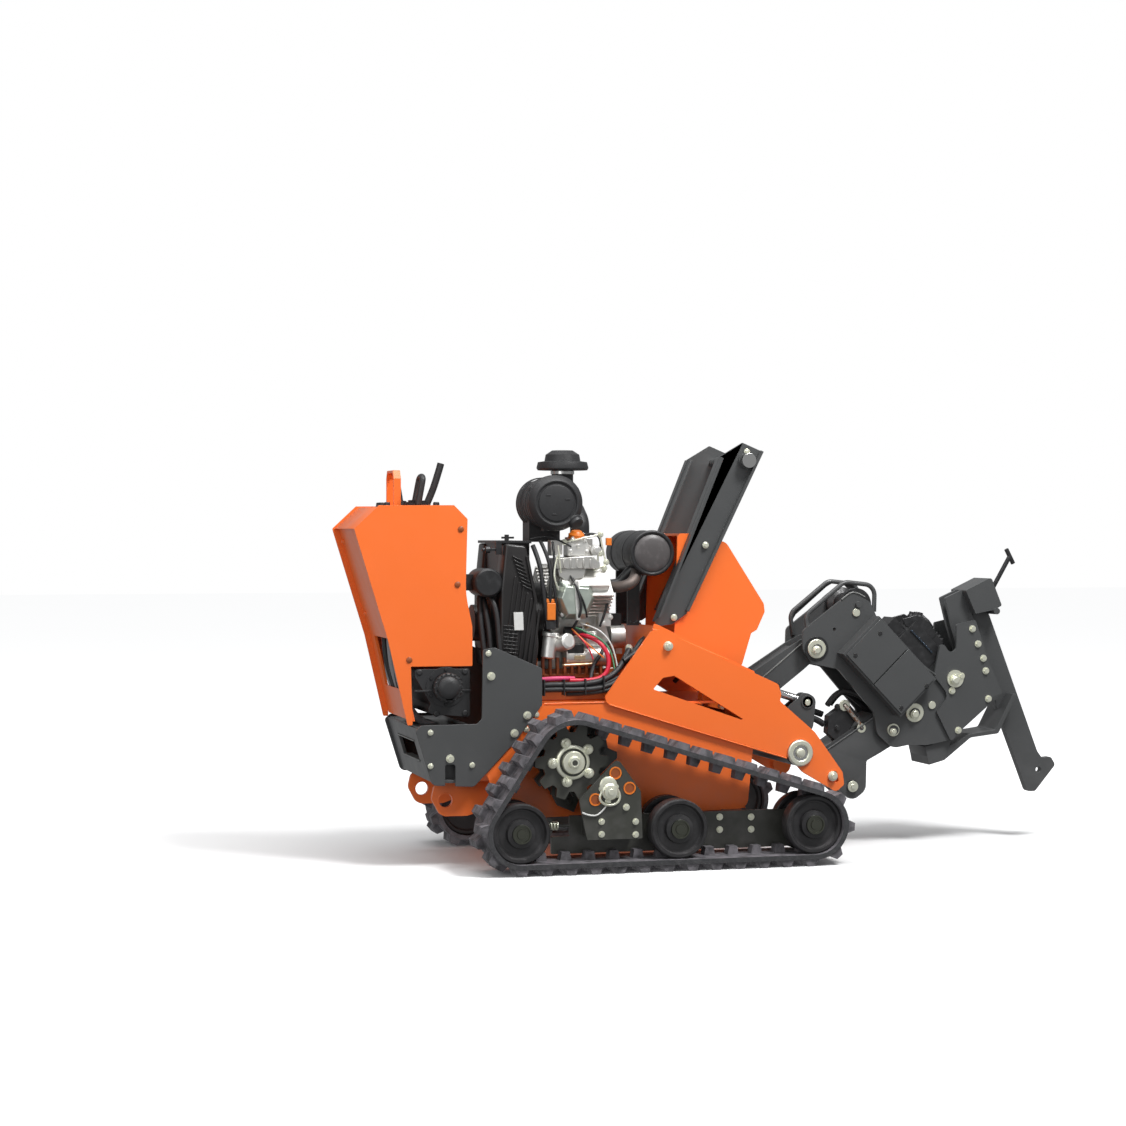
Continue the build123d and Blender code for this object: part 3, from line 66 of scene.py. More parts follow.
MM = 0.001
CAMERA_AT = (-2.3567, -7.0366, 0.978)
CAMERA_TURN = (math.radians(89.2), 0.0, math.radians(-15))
FLOOR_HALF = 30.0                                   # metres
STUDIO_STRENGTH = 0.36                              # of the light that falls on the machine from all round
FLAT = math.radians(0.5)                            # triangles closer than this make one face
WELD = 1e-6                                         # metres between points that are one
WHEEL_Z = 119.6                                     # axle height of the idlers and rollers, mm
SHARP = math.radians(32)
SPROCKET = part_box("sprocket_left")
AXLE_X = (SPROCKET[0][0] + SPROCKET[1][0]) / 2      # the drive axle, which x is measured from below


def spot(x, y, z):
    """The point x mm from the drive axle, y mm from the middle plane and z mm from the ground."""
    return Vector((AXLE_X + x * MM, y * MM, z * MM))


# ---------------------------------------------------------------- settings
class PlowPaint(bpy.types.PropertyGroup):
    """The colours of the machine."""
    orange: bpy.props.FloatVectorProperty(name="Orange", description="Powder coat of the body panels",
                                          subtype="COLOR", size=3, default=(0.90, 0.165, 0.022))
    grey: bpy.props.FloatVectorProperty(name="Grey", description="Powder coat of the guards and plow",
                                        subtype="COLOR", size=3, default=(0.060, 0.062, 0.063))
    olive: bpy.props.FloatVectorProperty(name="Track frame", description="Paint of the track frames",
                                         subtype="COLOR", size=3, default=(0.030, 0.032, 0.024))
    dust: bpy.props.FloatVectorProperty(name="Dust", description="Dry soil on rubber and low steel",
                                        subtype="COLOR", size=3, default=(0.24, 0.225, 0.23))


class PlowSizes(bpy.types.PropertyGroup):
    """The sizes that a user would change."""
    edge: bpy.props.FloatProperty(name="Edge radius", description="Rounding of cut plate edges",
                                  unit="LENGTH", default=0.0012, min=0.0, max=0.004)
    hose: bpy.props.FloatProperty(name="Hose radius", description="Hydraulic hose, outside",
                                  unit="LENGTH", default=0.010, min=0.004, max=0.02)
    dust_height: bpy.props.FloatProperty(name="Dust height", description="How high the dry soil reaches",
                                         unit="LENGTH", default=0.42, min=0.0, max=1.2)
    lens: bpy.props.FloatProperty(name="Lens", description="Focal length of the camera", unit="CAMERA",
                                  default=77.7, min=20.0, max=200.0)


# ---------------------------------------------------------------- surfaces
class Number:
    """A number that varies over a surface. Python maths on it adds Math nodes."""

    def __init__(self, finish, socket):
        self.finish = finish
        self.socket = socket

    def maths(self, operation, *values, clamp=False):
        node = self.finish.node("ShaderNodeMath", {"operation": operation, "use_clamp": clamp},
                                dict(enumerate(values)))
        return Number(self.finish, node.outputs[0])

    def __add__(self, other):
        return self.maths("ADD", self, other)

    def __radd__(self, other):
        return self.maths("ADD", other, self)

    def __sub__(self, other):
        return self.maths("SUBTRACT", self, other)

    def __rsub__(self, other):
        return self.maths("SUBTRACT", other, self)

    def __mul__(self, other):
        return self.maths("MULTIPLY", self, other)

    def __rmul__(self, other):
        return self.maths("MULTIPLY", other, self)

    def __truediv__(self, other):
        return self.maths("DIVIDE", self, other)

    def __pow__(self, other):
        return self.maths("POWER", self, other)

    def between(self, low, high):
        """0 below low, 1 above high."""
        return self.maths("MULTIPLY", self - low, 1.0 / (high - low), clamp=True)

    def size(self):
        return self.maths("ABSOLUTE", self)


class Finish:
    """A material that is built from a Principled shader; fixed sockets are given by name."""

    def __init__(self, name, **fixed):
        self.material = bpy.data.materials.new(name)
        self.material.use_nodes = True
        self.tree = self.material.node_tree
        self.shader = self.tree.nodes["Principled BSDF"]
        for words, value in fixed.items():
            self.shader.inputs[words.replace("_", " ").title().replace("Ior", "IOR")].default_value = value
        self.where = self.node("ShaderNodeTexCoord").outputs["Object"]

    def node(self, kind, settings=None, inputs=None):
        node = self.tree.nodes.new(kind)
        for key, value in (settings or {}).items():
            setattr(node, key, value)
        for key, value in (inputs or {}).items():
            self.feed(node.inputs[key], value)
        return node

    def feed(self, socket, value):
        value = value.socket if isinstance(value, Number) else value
        if isinstance(value, bpy.types.NodeSocket):
            self.tree.links.new(value, socket)
        elif socket.type == "RGBA" and len(value) == 3:
            socket.default_value = (*value, 1.0)
        else:
            socket.default_value = value

    def noise(self, size, detail=2.0, where=None):
        """Soft noise whose blotches are about size metres across."""
        node = self.node("ShaderNodeTexNoise", {}, {"Vector": where or self.where, "Scale": 1.0 / size,
                                                    "Detail": detail})
        return Number(self, node.outputs["Fac"])

    def cells(self, size):
        node = self.node("ShaderNodeTexVoronoi", {}, {"Vector": self.where, "Scale": 1.0 / size})
        return Number(self, node.outputs["Distance"])

    def stretched(self, x, y, z):
        """The place on the piece, stretched along the axes."""
        return self.node("ShaderNodeMapping", {}, {"Vector": self.where, "Scale": (x, y, z)}).outputs[0]

    def split(self, vector):
        node = self.node("ShaderNodeSeparateXYZ", {}, {0: vector})
        return [Number(self, out) for out in node.outputs]

    def mix(self, share, first, second):
        node = self.node("ShaderNodeMix", {"data_type": "RGBA"}, {0: share, 6: first, 7: second})
        return node.outputs[2]

    def colour(self, value):
        self.feed(self.shader.inputs["Base Color"], value)

    def roughness(self, value):
        self.feed(self.shader.inputs["Roughness"], value)

    def metallic(self, value):
        self.feed(self.shader.inputs["Metallic"], value)

    def relief(self, height, depth):
        """Bump of a depth in metres."""
        node = self.node("ShaderNodeBump", {}, {"Height": height, "Strength": 1.0, "Distance": depth})
        self.feed(self.shader.inputs["Normal"], node.outputs[0])

    def dust(self, reach, amount):
        """How much dry soil lies here: more near the ground and on faces that look up."""
        height = self.split(self.where)[2]
        up = self.split(self.node("ShaderNodeNewGeometry").outputs["Normal"])[2]
        low = 1.0 - height.between(reach * 0.2, reach)
        patches = self.noise(0.05, 5.0).between(0.42, 0.7)
        return (low * (patches * 0.7 + 0.3) * (up.between(-0.2, 1.0) * 0.6 + 0.4)) * amount

    def settled(self, base, base_roughness, amount):
        """Lays dust over a colour and a roughness."""
        paint, sizes = bpy.context.scene.plow_paint, bpy.context.scene.plow_sizes
        share = self.dust(sizes.dust_height, amount)
        self.colour(self.mix(share, base, tuple(paint.dust)))
        self.roughness(base_roughness + share * 0.4)


def powder_coat(name, colour, gloss, dust):
    """Baked powder coat: faint orange peel, a slight drift of tone and dust low down."""
    f = Finish(name, specular_ior_level=0.5, coat_weight=gloss, coat_roughness=0.16)
    tone = f.noise(0.35, 3.0)
    deep = tuple(c * 0.93 for c in colour)
    pale = tuple(min(1.0, c * 1.04 + 0.003) for c in colour)
    base = f.mix(tone, deep, pale)
    peel = f.noise(0.0022, 1.0)
    smear = f.noise(0.06, 6.0).between(0.35, 0.75)
    f.settled(base, 0.34 + smear * 0.12, dust)
    f.relief(peel + f.noise(0.0007, 1.0) * 0.3, 0.00006)
    return f.material


def track_rubber():
    """Vulcanised rubber, scuffed, with dry soil in the tread."""
    f = Finish("track_rubber", specular_ior_level=0.35)
    grain = f.noise(0.0015, 4.0)
    scuff = f.noise(0.012, 6.0).between(0.45, 0.8)
    base = f.mix(f.noise(0.04, 4.0), (0.028, 0.028, 0.030), (0.060, 0.060, 0.064))
    band_side = f.split(f.where)[1].size().between(0.4325, 0.4335)
    lug_face = (1.0 - band_side) * f.noise(0.03, 5.0).between(0.3, 0.6)
    base = f.mix(lug_face * 0.7, base, (0.23, 0.215, 0.235))
    f.colour(f.mix(scuff * 0.35, base, (0.12, 0.118, 0.12)))
    f.roughness(0.62 + scuff * 0.25)
    f.relief(grain + f.noise(0.006, 3.0) * 1.5, 0.0006)
    return f.material


def moulded(name, colour, roughness, grain=0.0009):
    """Moulded black plastic with a fine leather grain."""
    f = Finish(name, specular_ior_level=0.45)
    tone = f.noise(0.08, 4.0)
    base = f.mix(tone, colour, tuple(c * 1.6 + 0.004 for c in colour))
    f.settled(base, roughness + tone * 0.1, 0.25)
    f.relief(f.cells(grain), 0.00012)
    return f.material


def zinc(name, tint, dull):
    """Zinc plate: a pale metal with a faint yellow and green bloom."""
    f = Finish(name)
    bloom = f.noise(0.012, 3.0)
    f.colour(f.mix(bloom, tint, tuple(min(1.0, c * t) for c, t in zip(tint, (1.06, 1.0, 0.86)))))
    f.metallic(0.75)
    f.roughness(dull + bloom * 0.15)
    f.relief(f.noise(0.0012, 2.0), 0.00008)
    return f.material


def casting(name, colour, dirt):
    """Die-cast aluminium: sand grain, machining tone and oil film in the dips."""
    f = Finish(name)
    rough = f.noise(0.0012, 5.0)
    film = f.noise(0.03, 5.0).between(0.5, 0.72)
    f.colour(f.mix(film * dirt, colour, (0.10, 0.075, 0.05)))
    f.metallic(0.85)
    f.roughness(0.36 + film * 0.3)
    f.relief(rough, 0.0003)
    return f.material


def machined(name, colour, roughness):
    """Turned or ground steel with fine tool lines."""
    f = Finish(name)
    lines = f.noise(0.002, 2.0, f.stretched(1.0, 30.0, 1.0))
    f.colour(f.mix(lines, colour, tuple(c * 0.85 for c in colour)))
    f.metallic(1.0)
    f.roughness(roughness + lines * 0.08)
    f.relief(lines, 0.00003)
    return f.material


def black_steel(name, colour, roughness, dust):
    """Painted or oxidised black steel, worn to a greyer tone in patches."""
    f = Finish(name, specular_ior_level=0.5)
    worn = f.noise(0.02, 6.0).between(0.5, 0.8)
    base = f.mix(worn * 0.5, colour, tuple(c * 2.2 + 0.01 for c in colour))
    f.settled(base, roughness + worn * 0.18, dust)
    f.relief(f.noise(0.0018, 3.0), 0.00012)
    return f.material


def exhaust_steel():
    """Aluminised exhaust steel, browned by heat towards the engine."""
    f = Finish("exhaust_steel")
    heat = f.noise(0.05, 5.0).between(0.3, 0.7)
    f.colour(f.mix(heat, (0.085, 0.080, 0.078), (0.16, 0.125, 0.11)))
    f.metallic(0.7)
    f.roughness(0.42 + heat * 0.2)
    f.relief(f.noise(0.002, 4.0), 0.0002)
    return f.material


def hose_rubber(name, colour, wrap):
    """Smooth extruded hose cover with the faint spiral of its cloth wrap."""
    f = Finish(name, specular_ior_level=0.5)
    band = f.noise(0.003, 1.0, f.stretched(1.0, 0.35, 1.0))
    f.colour(f.mix(band, colour, tuple(c * 1.5 + 0.004 for c in colour)))
    f.roughness(0.42 + band * 0.15)
    f.relief(f.cells(wrap), 0.0003)
    return f.material


def coloured_plastic(name, colour):
    """Small coloured plastic fittings."""
    f = Finish(name, specular_ior_level=0.5)
    f.colour(f.mix(f.noise(0.01, 3.0), colour, tuple(c * 0.8 for c in colour)))
    f.roughness(0.35 + f.noise(0.004, 2.0) * 0.12)
    f.relief(f.noise(0.001, 2.0), 0.00008)
    return f.material


def rusty_steel():
    """A bare steel pin that has begun to rust."""
    f = Finish("rusty_steel")
    rust = f.noise(0.009, 6.0).between(0.42, 0.62)
    f.colour(f.mix(rust, (0.55, 0.54, 0.50), (0.17, 0.07, 0.03)))
    f.metallic(1.0 - rust)
    f.roughness(0.3 + rust * 0.5)
    f.relief(f.noise(0.0015, 5.0), 0.0004)
    return f.material


def pale_floor():
    """The studio floor: a pale matte sweep that glows more away from the machine, a painted light in place of lamp
    light that falls off with distance.
    """
    f = Finish("pale_floor", specular_ior_level=0.0, emission_strength=1.0)
    f.colour(f.mix(f.noise(1.5, 2.0), (0.86, 0.862, 0.865), (0.88, 0.882, 0.885)))
    x, y, _ = f.split(f.where)
    # painted light: the floor's glow rises from none within 0.9 m of the middle to 0.66 at 3 m
    far_glow = ((x * x + y * y) ** 0.5).between(0.9, 3.0)
    f.feed(f.shader.inputs["Emission Color"], f.mix(far_glow, (0.0, 0.0, 0.0), (0.66, 0.66, 0.66)))
    f.roughness(0.75 + f.noise(0.3, 2.0) * 0.05)
    f.relief(f.noise(0.01, 2.0), 0.00005)
    return f.material


FINISHES = {}


def finish(name):
    """A finish by its name, made once."""
    if name in FINISHES:
        return FINISHES[name]
    paint = bpy.context.scene.plow_paint
    makers = {
        "orange": lambda: powder_coat("orange_powder_coat", tuple(paint.orange), 0.25, 0.25),
        "grey": lambda: powder_coat("grey_powder_coat", tuple(paint.grey), 0.15, 0.30),
        "olive": lambda: powder_coat("track_frame_paint", tuple(paint.olive), 0.25, 0.45),
        "rubber": track_rubber,
        "plastic": lambda: moulded("black_plastic", (0.016, 0.016, 0.017), 0.42),
        "cowl": lambda: moulded("cowl_plastic", (0.010, 0.009, 0.009), 0.30, 0.0016),
        "zinc": lambda: zinc("zinc_plate", (0.80, 0.83, 0.74), 0.28),
        "cast": lambda: casting("cast_aluminium", (0.62, 0.61, 0.58), 0.35),
        "bright_cast": lambda: casting("bright_casting", (0.80, 0.79, 0.76), 0.2),
        "green_cast": lambda: casting("rocker_cover_cast", (0.52, 0.58, 0.52), 0.2),
        "steel": lambda: machined("ground_steel", (0.62, 0.62, 0.61), 0.20),
        "chrome": lambda: machined("chromed_rod", (0.80, 0.80, 0.80), 0.06),
        "black": lambda: black_steel("black_steel", (0.016, 0.016, 0.017), 0.36, 0.30),
        "wheel": lambda: black_steel("wheel_steel", (0.012, 0.012, 0.013), 0.30, 0.22),
        "exhaust": exhaust_steel,
        "hose": lambda: hose_rubber("hose_rubber", (0.012, 0.012, 0.013), 0.0016),
        "grey_hose": lambda: hose_rubber("grey_hose_sleeve", (0.20, 0.20, 0.21), 0.002),
        "red": lambda: coloured_plastic("red_cable", (0.62, 0.015, 0.045)),
        "amber": lambda: coloured_plastic("orange_fitting", (0.80, 0.20, 0.02)),
        "white": lambda: coloured_plastic("pale_fitting", (0.70, 0.70, 0.68)),
        # brown stands in for the orange in shade: a painted shade on the tower screws, the sump ribs and the guard
        # ring holes
        "brown": lambda: coloured_plastic("engine_bay_painted_shade", (0.30, 0.075, 0.018)),
        "magenta": lambda: coloured_plastic("magenta_cable", (0.62, 0.05, 0.16)),
        "wire": lambda: coloured_plastic("green_wire", (0.10, 0.30, 0.16)),
        "brass": lambda: machined("brass", (0.78, 0.58, 0.36), 0.25),
        "hub": lambda: machined("hub_steel", (0.13, 0.135, 0.11), 0.30),
        "muffler_end": lambda: black_steel("muffler_end_steel", (0.075, 0.068, 0.068), 0.38, 0.0),
        # a lighter copy of the grey coat: a painted highlight for lit lips, edges and welds
        "lit_grey": lambda: powder_coat("lit_grey_painted_highlight", (0.16, 0.163, 0.158), 0.1, 0.1),
        # a bluish metal that stands in for blue highlights: a painted reflection on the motor fins
        "blue_sheen": lambda: machined("painted_blue_sheen_steel", (0.10, 0.13, 0.17), 0.25),
        "rust": rusty_steel,
        "floor": pale_floor,
    }
    FINISHES[name] = makers[name]()
    return FINISHES[name]


FINISH_OF_SLOT = {
    "orange_paint": "orange", "grey_paint": "grey", "olive_paint": "olive", "track_rubber": "rubber",
    "black_plastic": "plastic", "black_steel": "black", "zinc": "zinc", "steel": "steel", "cast": "cast",
    "hose_rubber": "hose",
}
FINISH_OF_NODE = {"lift_rod": "chrome", "muffler": "black", "cylinder_heads": "bright_cast",
                  "blower_housing": "cowl", "flywheel_screen": "cowl", "vibrator_motor": "black"}


# ---------------------------------------------------------------- mesh tools
def finished(name, shape, finish_name, body, bevel=0.0, smooth=True):
    """Turns a bmesh into a piece with its finish, rounded edges and its body."""
    mesh = bpy.data.meshes.new(name)
    bmesh.ops.recalc_face_normals(shape, faces=shape.faces)
    shape.to_mesh(mesh)
    shape.free()
    piece = bpy.data.objects.new(name, mesh)
    bpy.context.scene.collection.objects.link(piece)
    mesh.materials.append(finish(finish_name))
    if smooth:
        mesh.shade_smooth()
        mesh.set_sharp_from_angle(angle=SHARP)
    if bevel:
        round_edges(piece, bevel)
    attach(piece, body)
    return piece


def round_edges(piece, width):
    """Rounds the sharp edges of a piece."""
    rounding = piece.modifiers.new("rounded edges", "BEVEL")
    rounding.width = width
    rounding.segments = 2
    rounding.limit_method = "ANGLE"
    rounding.angle_limit = SHARP
    rounding.harden_normals = False


def axis_frame(point, direction):
    """A matrix that puts local Z along a direction, at a point."""
    turn = Vector((0, 0, 1)).rotation_difference(Vector(direction).normalized()).to_matrix().to_4x4()
    return Matrix.Translation(point) @ turn


def turned(shape, profile, point, direction, steps=48):
    """Spins (radius, height) points, in mm, about a direction at a point."""
    ring = [shape.verts.new((r * MM, 0.0, h * MM)) for r, h in profile]
    edges = [shape.edges.new(pair) for pair in zip(ring, ring[1:])]
    bmesh.ops.spin(shape, geom=ring + edges, cent=(0, 0, 0), axis=(0, 0, 1), angle=math.tau,
                   steps=steps, use_merge=True)
    place_new(shape, axis_frame(point, direction))


def place_new(shape, matrix):
    """Merges and places the points that no earlier step has placed."""
    bmesh.ops.remove_doubles(shape, verts=[v for v in shape.verts if not v.tag], dist=WELD)
    fresh = [v for v in shape.verts if not v.tag]
    bmesh.ops.transform(shape, matrix=matrix, verts=fresh)
    for v in fresh:
        v.tag = True


def block(shape, low, high, turn=None):
    """A block between two corners in mm, as spot() measures them, turned about its middle."""
    low, high = spot(*low), spot(*high)
    middle, size = (low + high) / 2, high - low
    place = Matrix.Translation(middle) @ (turn or Matrix()) @ Matrix.Diagonal((*size, 1.0))
    made = bmesh.ops.create_cube(shape, size=1.0, matrix=place)
    for v in made["verts"]:
        v.tag = True


def plate(shape, outline, across, thickness, plane="xz"):
    """A plate with a drawn outline of (u, v) points in mm; across is its near face and thickness its depth."""
    if plane == "xz":
        points = [spot(u, across, v) for u, v in outline]
        push = Vector((0, thickness * MM, 0))
    elif plane == "yz":
        points = [spot(across, u, v) for u, v in outline]
        push = Vector((thickness * MM, 0, 0))
    else:
        points = [spot(u, v, across) for u, v in outline]
        push = Vector((0, 0, thickness * MM))
    verts = [shape.verts.new(p) for p in points]
    face = shape.faces.new(verts)
    made = bmesh.ops.extrude_face_region(shape, geom=[face])
    moved = [g for g in made["geom"] if isinstance(g, bmesh.types.BMVert)]
    bmesh.ops.translate(shape, verts=moved, vec=push)
    for v in verts + moved:
        v.tag = True


def hexagon_bolt(shape, point, direction, size=8.0, washer=12.0):
    """A washer and a bolt head, sizes in mm; the head's corners are size from its axis."""
    turned(shape, [(0, 0), (washer, 0), (washer, 2.2), (washer - 0.8, 3.0), (0, 3.0)], point, direction, 24)
    place = axis_frame(point + Vector(direction).normalized() * (3.0 * MM + size * 0.35 * MM), direction)
    made = bmesh.ops.create_cone(shape, cap_ends=True, segments=6, radius1=size * MM, radius2=size * 0.93 * MM,
                                 depth=size * 0.7 * MM, matrix=place)
    for v in made["verts"]:
        v.tag = True


def bolt_row(shape, places, y, side, size, washer):
    """Bolts at (x, z) places in mm on the faces y mm from the middle, on one side."""
    for x, z in places:
        hexagon_bolt(shape, spot(x, side * y, z), (0, side, 0), size, washer)


def run_of(name, points, radius, finish_name, order=3, sides=5):
    """A hose or cable along a smooth curve through points in mm, on no body yet."""
    curve = bpy.data.curves.new(name, "CURVE")
    curve.dimensions = "3D"
    curve.bevel_depth = radius * MM
    curve.bevel_resolution = sides
    curve.use_fill_caps = True
    spline = curve.splines.new("NURBS")
    spline.points.add(len(points) - 1)
    for control, point in zip(spline.points, points):
        control.co = (*spot(*point), 1.0)
    spline.use_endpoint_u = True
    spline.order_u = order
    spline.resolution_u = 10
    curve.materials.append(finish(finish_name))
    piece = bpy.data.objects.new(name, curve)
    bpy.context.scene.collection.objects.link(piece)
    return piece


def pipe(name, points, radius, finish_name, body, order=3, sides=5):
    """A hose or cable that moves with a body."""
    piece = run_of(name, points, radius, finish_name, order, sides)
    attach(piece, body)
    return piece


def bending_pipe(name, points, radius, finish_name, start, end):
    """A hose drawn as a curve and turned into a fixed mesh; it rides on no body and does not bend."""
    drawn = run_of(name + "_run", points, radius, finish_name)
    mesh = bpy.data.meshes.new_from_object(drawn.evaluated_get(bpy.context.evaluated_depsgraph_get()))
    bpy.data.objects.remove(drawn)
    mesh.shade_smooth()
    piece = bpy.data.objects.new(name, mesh)
    bpy.context.scene.collection.objects.link(piece)
    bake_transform(piece)
    return piece


# ---------------------------------------------------------------- tower
class PLOW_OT_tower(bpy.types.Operator):
    """Makes the lever grips, boots, instruments and screws of the control tower."""
    bl_idname = "plow.tower"
    bl_label = "Control tower"

    def execute(self, context):
        for side, y, low, high, top in (("left", 95, -406, -415.5, -419), ("right", -95, -392, -381, -377)):
            pipe(f"drive_grip_{side}", [(low, y - 26, 1050), (high, y - 26, 1108), (top, y - 22, 1130),
                                        (top, y + 22, 1130), (high, y + 26, 1108), (low, y + 26, 1050)],
                 9.5, "plastic", f"drive_lever_{side}")
        pipe("lift_grip", [(-342, 0, 1050), (-324, 0, 1090), (-311, 0, 1130), (-300, 0, 1166), (-299, 0, 1171)],
             10.5, "plastic", "lift_lever")
        boots = bmesh.new()
        for x, y in ((-400, 95), (-400, -95), (-359, 0)):
            turned(boots, [(34, 0), (34, 4), (28, 5), (29, 9), (22, 10), (23, 14), (16, 15), (17, 19), (11, 20)],
                   spot(x, y, 1042.5), (0, 0, 1), 24)
        finished("lever_boots", boots, "plastic", "chassis")
        knobs = bmesh.new()
        for x, y in ((-472, 30), (-472, 62), (-472, -62), (-340, -128)):
            turned(knobs, [(0, 14), (7, 14), (9, 12), (10, 3), (13, 2), (13, 0)], spot(x, y, 1042.5), (0, 0, 1),
                   20)
        turned(knobs, [(0, 6), (21, 6), (26, 5), (28, 0)], spot(-330, 120, 1042.5), (0, 0, 1), 32)
        block(knobs, (-492, -24, 1042), (-474, 8, 1050))
        finished("tower_instruments", knobs, "black", "chassis", 0.0006)
        screws = bmesh.new()
        for x, z in ((-280, 978), (-290, 818), (-432, 602)):
            turned(screws, [(0, 5), (4, 5), (8, 3), (9, 0)], spot(x, -188, z), (0, -1, 0), 20)
            turned(screws, [(0, 5), (4, 5), (8, 3), (9, 0)], spot(x, 188, z), (0, 1, 0), 20)
        # the screws take the brown, a painted shade of the orange
        finished("tower_screws", screws, "brown", "chassis")
        return {"FINISHED"}


class PLOW_OT_tank(bpy.types.Operator):
    """Makes the domed fuel cap, the tank's seams and flange bolts, and the hoses in the rear opening."""
    bl_idname = "plow.tank"
    bl_label = "Tank and rear hoses"

    def execute(self, context):
        cap = bmesh.new()
        turned(cap, [(0, 15), (14, 15), (26, 12), (32, 6), (33, 0)], spot(-325, -228.5, 523), (0, -1, 0), 48)
        for k in range(18):
            a = math.tau * k / 18
            block(cap, (-325 + 40 * math.cos(a) - 2.5, -229, 523 + 40 * math.sin(a) - 2.5),
                  (-325 + 40 * math.cos(a) + 2.5, -213, 523 + 40 * math.sin(a) + 2.5))
        finished("fuel_cap_grip", cap, "plastic", "fuel_cap", 0.0008)
        seam = bmesh.new()
        plate(seam, [(-417, 509), (-251, 509), (-251, 515), (-417, 515)], -191, 6)
        for x, z in ((-402, 566), (-268, 566), (-268, 446), (-352, 446)):
            turned(seam, [(0, 4), (6, 4), (9, 2), (9, 0)], spot(x, -187, z), (0, -1, 0), 20)
        finished("tank_seam", seam, "plastic", "chassis", 0.001)
        flange = bmesh.new()
        for k in range(6):
            a = math.tau * (k + 0.5) / 6
            hexagon_bolt(flange, spot(-325 + 50 * math.cos(a), -187, 523 + 50 * math.sin(a)), (0, -1, 0), 4.5, 6.5)
        turned(flange, [(58, 0), (58, 3), (40, 3)], spot(-325, -187, 523), (0, -1, 0), 48)
        finished("tank_flange", flange, "plastic", "chassis", 0.0006)
        runs = ((-70, "grey_hose", 11, 0), (-38, "hose", 10, 8), (-8, "grey_hose", 9, -4), (24, "hose", 11, 5),
                (58, "hose", 9, -6), (86, "grey_hose", 10, 3))
        for k, (y, cover, radius, sway) in enumerate(runs):
            pipe(f"rear_hose_{k}", [(-452 + sway, y, 668), (-450 + sway, y - 4, 600), (-433, y + sway, 520),
                                    (-397, y - 6, 428), (-330, y, 400), (-230, y + 4, 372)],
                 radius, cover, "chassis")
        return {"FINISHED"}


# ---------------------------------------------------------------- engine
class PLOW_OT_cowl(bpy.types.Operator):
    """Makes the black fan cowl with its slanted ribs, the screen's slats and the cooler frame above."""
    bl_idname = "plow.cowl"
    bl_label = "Fan cowl"

    def execute(self, context):
        for side, y in (("right", -176), ("left", 96)):
            shell = bmesh.new()
            plate(shell, [(-150, 566), (-52, 560), (-44, 640), (-50, 742), (-66, 850), (-82, 930), (-144, 936),
                          (-158, 800), (-160, 650)], y, 80)
            bmesh.ops.bevel(shell, geom=shell.edges[:], offset=0.008, offset_type="OFFSET", segments=3,
                            profile=0.5, affect="EDGES", material=-1)
            finished(f"cowl_cheek_{side}", shell, "cowl", "chassis")
        ribs = bmesh.new()
        for k in range(7):
            x, z = -146 + 12 * k, 690 - 16 * k
            plate(ribs, [(x, z - 60), (x + 7, z - 60), (x + 34, z + 150), (x + 28, z + 150)], -180, 6)
        for k in range(10):
            z = 596 + 11 * k
            plate(ribs, [(-152, z), (-108, z - 4), (-108, z), (-152, z + 5)], -181, 7)
        plate(ribs, [(-100, 572), (-92, 572), (-50, 770), (-76, 900), (-84, 900), (-59, 770)], -181, 7)
        for k in range(8):
            x, z = -66 - 4 * k, 812 + 12 * k
            plate(ribs, [(x - 30, z), (x, z - 14), (x, z - 9), (x - 30, z + 5)], -182, 8)
        finished("cowl_ribs", ribs, "cowl", "chassis", 0.0012)
        frame_top = bmesh.new()
        block(frame_top, (-152, -150, 936), (-60, 150, 944))
        block(frame_top, (-168, -154, 904), (-150, -138, 944))
        block(frame_top, (-140, -150, 944), (-128, -142, 962))
        block(frame_top, (-186, -152, 914), (-168, -140, 922))
        turned(frame_top, [(0, 0), (10, 0), (10, 14), (5, 16), (5, 24), (0, 24)], spot(-184, -146, 918),
               (-1, 0, 0), 16)
        block(frame_top, (-150, -148, 950), (-112, -144, 956))
        finished("cooler_frame", frame_top, "black", "chassis", 0.001)
        screen = bmesh.new()
        for k in range(40):
            a = math.tau * k / 40
            y, z = 79.5 * math.cos(a), 79.5 * math.sin(a)
            block(screen, (-182, y - 1.6, 700 + z - 1.6), (-140, y + 1.6, 700 + z + 1.6))
        finished("screen_slats", screen, "plastic", "flywheel_screen")
        fins = bmesh.new()
        for k in range(7):
            block(fins, (-176, -66 - 9 * k, 590), (-148, -62 - 9 * k, 780))
        block(fins, (-178, -128, 582), (-146, -56, 590))
        block(fins, (-178, -128, 780), (-146, -56, 788))
        finished("oil_cooler_fins", fins, "black", "chassis", 0.0006)
        return {"FINISHED"}


